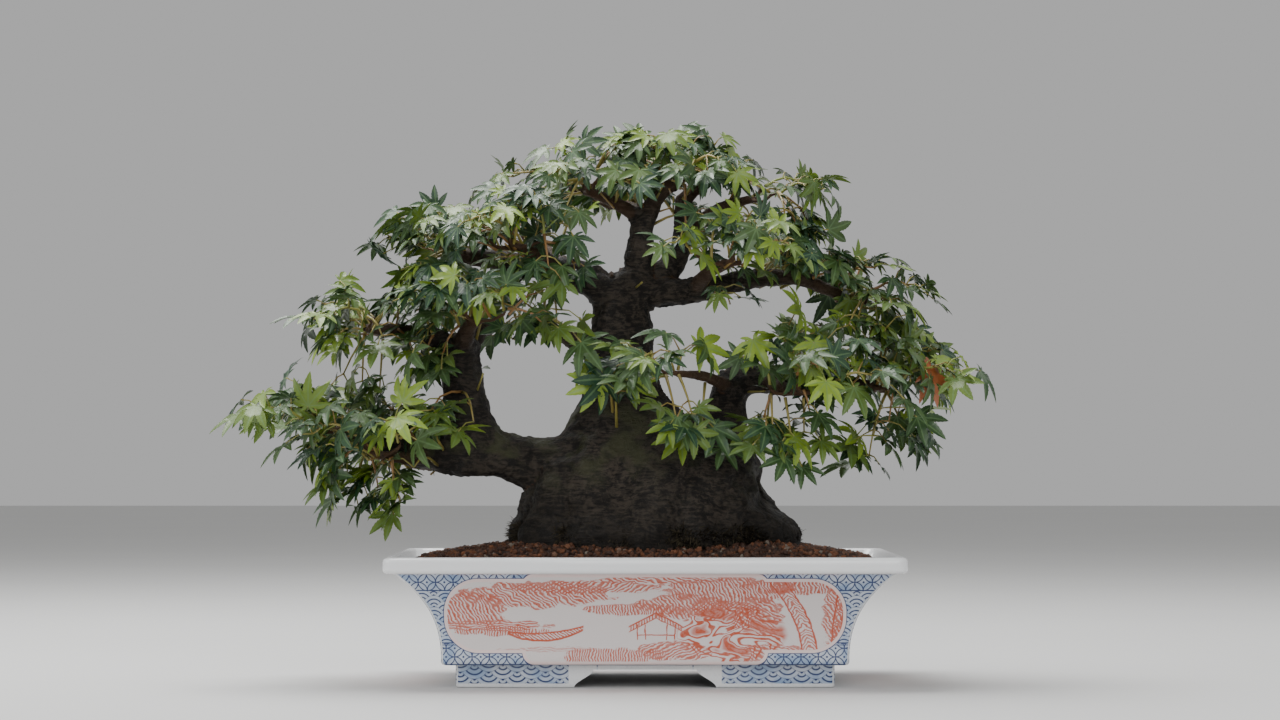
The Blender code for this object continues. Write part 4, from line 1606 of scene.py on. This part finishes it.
@dataclass
class RootFringe:
    """The fine, dark, mossy fibres that cover the roots where they enter the soil."""

    strands: int = 6500
    above_soil: float = 9.0 * MM
    below_soil: float = 8.0 * MM
    reach: float = 19.0 * MM
    width: float = 0.36 * MM
    shortest: float = 2.5 * MM
    longest: float = 6.5 * MM
    rooted: float = 0.6 * MM
    seed: int = 31

    def build(self) -> bpy.types.Object:
        """Plants the fibres, more of them the nearer the soil.

        Returns:
            The fibres, as one mesh of narrow blades.
        """
        dice = random.Random(self.seed)
        wood, bed = tree_of("trunk_and_branches"), tree_of("soil")
        low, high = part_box("soil")
        middle = (low + high) / 2
        soup = Soup()
        while len(soup.faces) < self.strands:
            turn = dice.uniform(0, math.tau)
            out = Vector((math.cos(turn), math.sin(turn), 0))
            level = high.z - dice.uniform(-self.above_soil, self.below_soil)
            far = Vector((middle.x, 0, level)) + out * 0.2
            place, normal, _, _ = wood.ray_cast(far, -out)
            if place is None:
                continue
            ground, _, _, _ = bed.ray_cast(place + out * 2 * MM + 40 * MM * UP, -UP)
            height = place.z - ground.z if ground is not None else 1.0
            if not -1 * MM < height < self.reach or dice.random() < height / self.reach:
                continue
            lean = (normal * 0.9 - UP * 0.35 + scatter(dice, 0.55)).normalized()
            side = lean.cross(UP).normalized() * self.width * dice.uniform(0.6, 1.4)
            length = dice.uniform(self.shortest, self.longest)
            tint = (dice.random(), 0.0, 0.0)
            root = place - normal * self.rooted
            shoulder, tip = root + lean * length * 0.6 + side * 0.5, root + lean * length - UP * 0.5 * MM
            corners = (root - side, root + side, shoulder, tip)
            soup.face(tuple(soup.add(corner, tint) for corner in corners), 0)
        return enlist(soup.build("root_fringe", [FringeFinish().build()]), Slot.BARK)


# ---- Foliage -------------------------------------------------------------------------------------------


@dataclass(frozen=True)
class Lobe:
    """One pointed lobe of a maple leaf: its angle in degrees, and its share of the leaf's length."""

    angle: float
    length: float


@dataclass(frozen=True)
class MapleLeaf:
    """A deeply cut, saw-edged leaf of seven lobes that droops from the end of its stalk."""

    length: float = 19.5 * MM
    half_width: float = 0.146
    neck: float = 0.28
    notch: float = 0.36
    teeth: float = 0.026
    cupping: float = 0.42
    heel_angle: float = 26.0
    heel_reach: float = 0.10
    heart_reach: float = 0.37
    lobes: tuple[Lobe, ...] = (
        Lobe(-124, 0.36),
        Lobe(-80, 0.72),
        Lobe(-39, 0.93),
        Lobe(0, 1.0),
        Lobe(39, 0.93),
        Lobe(80, 0.72),
        Lobe(124, 0.36),
    )
    corners: tuple[tuple[float, float], ...] = ((-0.8, 0.3), (0.8, 0.3), (0, 1.0), (0, -0.2))
    rows: tuple[float, ...] = (0.42, 0.47, 0.52, 0.58, 0.64, 0.70, 0.77, 0.83, 0.90)

    def width(self, share: float) -> float:
        """Half a lobe's width at a share of its length, as a share of the length."""
        beyond = max(0.0, (share - self.neck) / (1.0 - self.neck))
        return self.half_width * 2.35 * beyond**0.45 * (1 - beyond) ** 0.92

    def blade(self, soup: Soup, frame_of: Matrix, size: float, age: float, curl: float, dry: float) -> None:
        """Adds a leaf's blade.

        Args:
            soup: the mesh under construction.
            frame_of: turns the leaf's own places, with +Y along its middle lobe, into the model's.
            size: its size, 1 for a full one.
            age: 0 for a deep green leaf, 1 for a fresh one.
            curl: how far its lobes hang.
            dry: 1 for a withered leaf.
        """
        length = self.length * size

        def spot(angle: float, reach: float, side: float, rib: float) -> int:
            """Adds a point beside a lobe's midrib.

            Args:
                angle: the lobe's angle, in degrees.
                reach: how far out the point is along the midrib.
                side: how far it is to the side.
                rib: 1 on a rib, 0 on the edge.

            Returns:
                The point's number.
            """
            turn = math.radians(angle)
            along = Vector((math.sin(turn), math.cos(turn), 0))
            across = Vector((math.cos(turn), -math.sin(turn), 0))
            flat = along * reach + across * side
            share = flat.length / length
            drop = curl * share * share * (0.55 + 0.45 * abs(math.sin(turn))) * length
            lift = abs(side) * self.cupping
            return soup.add(frame_of @ (flat + (lift - drop) * UP), (age, rib, dry))

        base = spot(0, 0.0, 0.0, 1.0)
        angles = [lobe.angle for lobe in self.lobes]
        between = [(a + b) / 2 for a, b in zip(angles, angles[1:])]
        gaps = [spot(angles[0] - self.heel_angle, self.heel_reach * length, 0.0, 0.3)]
        for a, one, two in zip(between, self.lobes, self.lobes[1:]):
            gaps.append(spot(a, self.notch * length * min(one.length, two.length), 0.0, 0.2))
        gaps.append(spot(angles[-1] + self.heel_angle, self.heel_reach * length, 0.0, 0.3))
        for k, lobe in enumerate(self.lobes):
            full = lobe.length * length
            heart = spot(lobe.angle, self.heart_reach * full, 0.0, 1.0)
            soup.face((base, gaps[k], heart), 0)
            soup.face((base, heart, gaps[k + 1]), 0)
            left, middle, right = gaps[k], heart, gaps[k + 1]
            rows = self.rows if lobe.length > 0.5 else self.rows[::3]
            for n, share in enumerate(rows):
                bite = self.teeth if n % 2 == 0 else -self.teeth * 0.4
                half = (self.width(share) + bite * (1.15 - share)) * full
                ribs = spot(lobe.angle, share * full, 0.0, 1.0)
                west = spot(lobe.angle, share * full, -half, 0.0)
                east = spot(lobe.angle, share * full, half, 0.0)
                soup.face((left, west, ribs, middle), 0)
                soup.face((middle, ribs, east, right), 0)
                left, middle, right = west, ribs, east
            tip = spot(lobe.angle, full, 0.0, 0.4)
            soup.face((left, tip, middle), 0)
            soup.face((middle, tip, right), 0)


@dataclass(frozen=True)
class Cluster:
    """Extra sprigs: the shoot they grow with, the place in millimetres that they reach for, and how many."""

    shoot: str
    place: tuple[float, float, float]
    sprigs: int


@dataclass(frozen=True)
class Gap:
    """An opening in the crown that leaves stay out of, by its four edges in millimetres."""

    left: float
    right: float
    low: float
    high: float

    def holds(self, place: Vector) -> bool:
        """Whether a place lies in the opening, seen from the front."""
        return self.left < place.x / MM < self.right and self.low < place.z / MM < self.high


CLUSTERS = (
    Cluster("apex_left_1", (8, -10, 248), 4),
    Cluster("apex_back_1", (14, 18, 250), 3),
    Cluster("apex_1", (20, -16, 246), 3),
    Cluster("apex_right_1", (58, -6, 240), 2),
    Cluster("apex_right_2", (88, -4, 226), 2),
    Cluster("right_high_front_1", (40, -34, 212), 3),
    Cluster("right_high_front_2", (84, -22, 208), 3),
    Cluster("right_high_tip_1", (104, -14, 206), 3),
    Cluster("right_high_tip_2", (128, -8, 184), 3),
    Cluster("left_high_front_1", (-26, -30, 218), 3),
    Cluster("left_high_tip_1", (-58, -20, 218), 3),
    Cluster("left_high_tip_2", (-90, -8, 196), 3),
    Cluster("left_high_front_2", (-20, -34, 200), 3),
    Cluster("left_mid_front_1", (-74, -30, 160), 2),
    Cluster("left_mid_tip_1", (-98, -22, 160), 3),
    Cluster("left_mid_front_2", (-34, -34, 176), 3),
    Cluster("left_low_front_1", (-52, -34, 122), 3),
    Cluster("left_low_front_2", (-84, -34, 124), 3),
    Cluster("left_low_tip_1", (-128, -22, 100), 3),
    Cluster("left_low_tip_3", (-110, -30, 92), 3),
    Cluster("left_low_back_1", (-88, 20, 96), 2),
    Cluster("left_low_tip_2", (-112, -8, 134), 2),
    Cluster("left_low_front_3", (-96, -44, 96), 3),
    Cluster("right_low_front_1", (46, -44, 126), 3),
    Cluster("right_low_front_2", (72, -44, 122), 3),
    Cluster("right_low_front_3", (98, -40, 116), 3),
    Cluster("right_low_tip_1", (124, -26, 118), 3),
    Cluster("right_low_tip_2", (150, -8, 124), 3),
    Cluster("right_low_tip_3", (112, -20, 158), 3),
    Cluster("right_low_inner_1", (12, -48, 158), 2),
)

GAPS = (Gap(-56, -14, 112, 150), Gap(24, 80, 158, 178), Gap(-96, -36, 66, 96), Gap(24, 36, 200, 232))


@dataclass
class Foliage:
    """The leafy shoots: drooping stems with pairs of long-stalked maple leaves, side sprigs and cut stubs."""

    leaf: MapleLeaf = MapleLeaf()
    pair_spacing: float = 7.0 * MM
    stalk_length: float = 13.0 * MM
    stalk_radius: float = 0.36 * MM
    stalk_sides: int = 5
    stem_radius: float = 0.72 * MM
    stem_sides: int = 6
    stem_steps: int = 8
    stem_sag: float = 4.5 * MM
    stem_arch: float = 3.0 * MM
    low_spread: float = 1.3
    high_spread: float = 0.95
    sprig_reach: float = 46.0 * MM
    sprig_radii: tuple[float, ...] = (0.85 * MM, 0.62 * MM, 0.50 * MM, 0.38 * MM)
    stub_radii: tuple[float, ...] = (0.62 * MM, 0.42 * MM, 0.55 * MM)
    sprigs: int = 3
    stubs: int = 2
    cluster_spread: float = 6.0 * MM
    small_above: float = 170.0 * MM
    smallest_above: float = 220.0 * MM
    crown_shrink: float = 0.22
    fresh_behind: float = 12.0 * MM
    spare: float = 5.0 * MM
    lowest: float = 74.0 * MM
    hub: tuple[float, float] = (16.0 * MM, 13.0 * MM)
    withered_shoot: str = "leafy_shoot_right_low_tip_1"
    withered_place: tuple[float, float, float] = (143.0 * MM, -24.0 * MM, 148.0 * MM)
    seed: int = 23

    def __post_init__(self) -> None:
        """Reads the room there is and where the wood is."""
        self.shoots = sorted(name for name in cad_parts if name.startswith("leafy_shoot_"))
        boxes = [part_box(name) for name in self.shoots]
        self.low = Vector([min(box[0][k] for box in boxes) for k in range(3)])
        self.low.z = self.lowest
        self.high = Vector([max(box[1][k] for box in boxes) for k in range(3)])
        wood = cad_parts["trunk_and_branches"].data
        self.facings = [vert.normal.copy() for vert in wood.vertices]
        self.wood = KDTree(len(wood.vertices))
        for k, vert in enumerate(wood.vertices):
            self.wood.insert(vert.co, k)
        self.wood.balance()
        self.materials = [LeafFinish().build(), StalkFinish().build()]

    def build(self) -> None:
        """Grows every shoot, each of which stands for a packed one."""
        for count, name in enumerate(self.shoots):
            dice = random.Random(self.seed + count)
            soup = Soup()
            root, middle = self.grow(soup, name, dice)
            self.add_sprigs(soup, root, middle, dice)
            if name == self.withered_shoot:
                end = Vector(self.withered_place)
                self.sprig(soup, self.wood.find(end)[0], end, dice, 1)
                self.hang(soup, end, Vector((0.5, -0.6, 0.1)), 0.9, 1.0, dice)
            for cluster in CLUSTERS:
                if name == f"leafy_shoot_{cluster.shoot}":
                    self.fill(soup, cluster, dice)
            piece = soup.build(name.replace("leafy_shoot", "maple_shoot"), self.materials)
            enlist(piece, Slot.FOLIAGE, name)

    def outward(self, place: Vector) -> Vector:
        """The level way out of the crown at a place."""
        away = Vector((place.x - self.hub[0], place.y - self.hub[1], 0))
        return away.normalized() if away.length > 1 * MM else Vector((0, -1, 0))

    def age(self, place: Vector, dice: random.Random) -> float:
        """Draws a leaf's age: mostly deep green in front and on top, and more often fresh behind.

        Args:
            place: where its stalk leaves the stem.
            dice: the shoot's own random numbers.

        Returns:
            0 for a deep green leaf, up to 1 for a fresh one.
        """
        chance = dice.random() - (0.22 if place.y > self.fresh_behind else 0.0)
        if chance < 0.16:
            return dice.uniform(0.70, 1.0)
        return dice.uniform(0.30, 0.60) if chance < 0.36 else dice.uniform(0.0, 0.20)

    def grow(self, soup: Soup, name: str, dice: random.Random) -> tuple[Vector, Vector]:
        """Adds a shoot's stem and leaves.

        Args:
            soup: the mesh under construction.
            name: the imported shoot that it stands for.
            dice: the shoot's own random numbers.

        Returns:
            The point where it leaves the wood, and its middle.
        """
        spots = [v.co.copy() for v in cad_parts[name].data.vertices]
        middle = sum(spots, Vector()) / len(spots)
        start = min(spots, key=lambda spot: self.wood.find(spot)[2])
        root = self.wood.find(start)[0]
        heading = (middle - start).normalized()
        spread = self.low_spread if "_low_tip" in name else self.high_spread
        reach = (middle - start).length * spread + 3 * MM
        path = [root.lerp(start, 0.3)]
        for step in range(self.stem_steps + 1):
            share = step / self.stem_steps
            rise = self.stem_arch * math.sin(math.pi * share) - self.stem_sag * share * share
            wander = Vector([dice.uniform(-0.5, 0.5) * MM for _ in range(3)])
            path.append(start + heading * reach * share + UP * rise + wander)
        radii = [self.stem_radius * (1.1 - 0.55 * k / (self.stem_steps + 1)) for k in range(len(path))]
        redness = dice.choice((0.0, 0.1, 0.2, 0.8))
        soup.tube(path, radii, self.stem_sides, (dice.uniform(0.2, 0.9), redness, 0.0), 1)
        pairs = max(3, round(reach / self.pair_spacing))
        sideways = heading.cross(UP).normalized()
        for pair in range(pairs + 1):
            share = (pair + 0.6) / (pairs + 0.6)
            node = self.along(path[1:], min(1.0, share))
            turn = Matrix.Rotation(dice.uniform(-0.5, 0.5) + (0.9 if pair % 2 else 0.0), 3, heading)
            for side in (-1, 1):
                size = dice.uniform(0.58, 1.06) * (1.0 - 0.12 * share)
                lean = (turn @ sideways) * side + heading * (0.35 + 0.9 * share)
                lean += UP * dice.uniform(-0.25, 0.5)
                self.hang(soup, node, lean.normalized(), size, 0.0, dice)
        return root, middle

    def add_sprigs(self, soup: Soup, root: Vector, middle: Vector, dice: random.Random) -> None:
        """Adds small side sprigs and cut stubs that rise from the wood near a shoot.

        Args:
            soup: the mesh under construction.
            root: where the shoot leaves the wood.
            middle: the shoot's middle.
            dice: the shoot's own random numbers.
        """
        near = [spot for spot in self.wood.find_range(root, self.sprig_reach) if spot[2] > 6 * MM]
        for count in range(self.sprigs + self.stubs):
            place, index, _ = dice.choice(near)
            facing = self.facings[index] * 0.7 + UP * 0.55 + self.outward(place) * 0.4
            facing += scatter(dice, 0.3)
            if count < self.sprigs:
                end = place.lerp(middle, 0.15) + facing.normalized() * dice.uniform(9, 22) * MM
                self.sprig(soup, place, end, dice, 2 if dice.random() < 0.6 else 1)
            else:
                end = place + facing.normalized() * dice.uniform(4, 11) * MM
                path = [place - facing * MM, place.lerp(end, 0.6), end]
                tint = (0.3, dice.choice((0.0, 0.5)), 0.0)
                soup.tube(path, self.stub_radii, self.stalk_sides, tint, 1)

    def fill(self, soup: Soup, cluster: Cluster, dice: random.Random) -> None:
        """Adds a cluster's sprigs, which reach for its place from the nearest wood.

        Args:
            soup: the mesh under construction.
            cluster: the cluster.
            dice: the shoot's own random numbers.
        """
        for _ in range(cluster.sprigs):
            end = Vector(cluster.place) * MM + scatter(dice, self.cluster_spread)
            place = self.wood.find(end + 12 * MM * UP)[0]
            self.sprig(soup, place, end, dice, 2)

    def sprig(self, soup: Soup, place: Vector, end: Vector, dice: random.Random, pairs: int) -> None:
        """Adds a thin twig with leaves along its outer half.

        Args:
            soup: the mesh under construction.
            place: where it leaves the wood.
            end: its tip.
            dice: the shoot's own random numbers.
            pairs: its pairs of leaves.
        """
        if any(gap.holds(end) for gap in GAPS):
            return
        lift = UP * (end - place).length * dice.uniform(0.05, 0.22)
        path = [place, place.lerp(end, 0.35) + lift * 0.8, place.lerp(end, 0.7) + lift, end]
        tint = (0.25, dice.choice((0.0, 0.1, 0.2, 0.7)), 0.0)
        soup.tube(path, self.sprig_radii, self.stalk_sides, tint, 1)
        heading = (end - path[1]).normalized()
        sideways = heading.cross(UP + Vector((0.1, 0, 0))).normalized()
        for pair in range(pairs):
            node = self.along(path, 1.0 - 0.28 * pair)
            for side in (-1, 1):
                lean = sideways * side * (1.0 if pair else 0.75) + heading * 0.6
                lean += UP * dice.uniform(-0.2, 0.6)
                self.hang(soup, node, lean.normalized(), dice.uniform(0.50, 0.98), 0.0, dice)

    def along(self, path: list[Vector], share: float) -> Vector:
        """Finds a point on a path.

        Args:
            path: its points.
            share: the share of the way along it.

        Returns:
            The point.
        """
        place = share * (len(path) - 1)
        first = min(int(place), len(path) - 2)
        return path[first].lerp(path[first + 1], place - first)

    def keep_inside(self, end: Vector, corners: list[Vector]) -> None:
        """Moves a leaf until it lies in the crown's room.

        Args:
            end: the end of its stalk, which is moved.
            corners: its corners, measured from there.
        """
        for corner in corners * 2:
            for axis in range(3):
                place = end[axis] + corner[axis]
                low, high = self.low[axis] - self.spare, self.high[axis] + (self.spare if axis < 2 else 0.0)
                end[axis] += max(0.0, low - place) - max(0.0, place - high)

    def hang(
        self, soup: Soup, node: Vector, lean: Vector, size: float, dry: float, dice: random.Random
    ) -> None:
        """Adds one leaf and its stalk.

        Args:
            soup: the mesh under construction.
            node: where the stalk leaves the stem.
            lean: which way it leaves.
            size: the leaf's size, 1 for a full one.
            dry: 1 for a withered leaf.
            dice: the shoot's own random numbers.
        """
        crown = held((node.z - self.small_above) / (self.smallest_above - self.small_above))
        size *= 1.0 - self.crown_shrink * crown
        length = self.stalk_length * size * dice.uniform(0.7, 1.25)
        outward = self.outward(node)
        end = node + lean * length - UP * length * dice.uniform(0.0, 0.35)
        to_light = Vector((0, -0.12 - 1.4 * dry, 0))
        normal = (UP * 0.78 + outward * 0.55 + scatter(dice, 0.42) + to_light).normalized()
        fall = lean * 0.75 + outward * 0.35 - UP * 0.6 + scatter(dice, 0.3)
        ahead = (fall - fall.project(normal)).normalized()
        across = ahead.cross(normal)
        curl = dice.uniform(0.06, 0.48) + 0.4 * dry
        turned = Matrix((across, ahead, normal)).transposed().to_4x4()
        reach = self.leaf.length * size
        corners = [(across * a + ahead * b - normal * curl * 0.5) * reach for a, b in self.leaf.corners]
        self.keep_inside(end, corners)
        if any(gap.holds(end + ahead * reach * 0.5) for gap in GAPS):
            return
        age = self.age(node, dice)
        self.leaf.blade(soup, Matrix.Translation(end) @ turned, size, age, curl, dry)
        bow = node.lerp(end, 0.5) + UP * length * 0.16
        path = [node, node.lerp(bow, 0.55), bow, bow.lerp(end, 0.55), end]
        radii = [self.stalk_radius * k for k in (1.4, 1.0, 0.85, 0.85, 1.1)]
        tint = (min(1.0, age * 0.6 + 0.3), dice.choice((0.0, 0.0, 0.1, 0.45)), 0.0)
        soup.tube(path, radii, self.stalk_sides, tint, 1)


# ---- Studio --------------------------------------------------------------------------------------------


@dataclass(frozen=True)
class SoftLight:
    """A square light panel that faces a place."""

    name: str
    place: tuple[float, float, float]
    size: float
    power: float
    colour: Colour = (1.0, 1.0, 1.0)
    towards: tuple[float, float, float] = (0.0, 0.0, 0.12)

    def build(self) -> None:
        """Hangs the panel."""
        lamp = bpy.data.lights.new(self.name, "AREA")
        lamp.shape = "SQUARE"
        lamp.size = self.size
        lamp.energy = self.power
        lamp.color = self.colour
        rig = bpy.data.objects.new(self.name, lamp)
        rig.location = self.place
        aim = Vector(self.towards) - Vector(self.place)
        rig.rotation_euler = aim.to_track_quat("-Z", "Y").to_euler()
        bpy.context.scene.collection.objects.link(rig)


@dataclass(frozen=True)
class Studio:
    """The pale floor, the soft lights and the camera."""

    floor_reach: float = 6.0
    camera_place: tuple[float, float, float] = (0.0156, -1.7067, 0.1073)
    camera_rise: float = 1.547
    lens: float = 100.0
    sensor: float = 36.0
    world_grey: float = 0.46
    floor_drop: float = 0.2 * MM
    lights: tuple[SoftLight, ...] = (
        SoftLight("overhead", (-0.30, 0.30, 1.25), 1.0, 27.0),
        SoftLight("front_fill", (0.4, -1.7, 0.8), 1.2, 15.0),
        SoftLight("side_fill", (-1.4, -0.5, 0.8), 0.9, 7.0),
    )

    def build(self) -> None:
        """Sets up the floor, the lights, the sky and the camera."""
        bm = bmesh.new()
        bmesh.ops.create_grid(bm, x_segments=8, y_segments=8, size=self.floor_reach)
        floor = from_bmesh("studio_floor", bm)
        floor.location.z = -self.floor_drop
        floor.data.materials.append(FloorFinish().build())
        for light in self.lights:
            light.build()
        world = bpy.data.worlds.new("studio")
        world.use_nodes = True
        sky = world.node_tree.nodes["Background"]
        sky.inputs["Color"].default_value = (*[self.world_grey] * 3, 1.0)
        sky.inputs["Strength"].default_value = 1.0
        bpy.context.scene.world = world
        eye = bpy.data.cameras.new("camera")
        eye.lens = self.lens
        eye.sensor_width = self.sensor
        rig = bpy.data.objects.new("camera", eye)
        rig.location = self.camera_place
        rig.rotation_euler = (math.radians(90 + self.camera_rise), 0, 0)
        bpy.context.scene.collection.objects.link(rig)
        bpy.context.scene.camera = rig
        LOG.info("studio: floor, %d lights and camera", len(self.lights))


def main() -> None:
    """Builds and dresses every piece, and sets up the studio."""
    logging.basicConfig(level=logging.INFO, format="%(name)s: %(message)s")
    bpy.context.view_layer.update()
    Pot().build()
    Drainage().build()
    Soil().build()
    Wood().build()
    RootFringe().build()
    Foliage().build()
    Studio().build()
    bpy.context.view_layer.update()


if __name__ == "__main__":
    main()
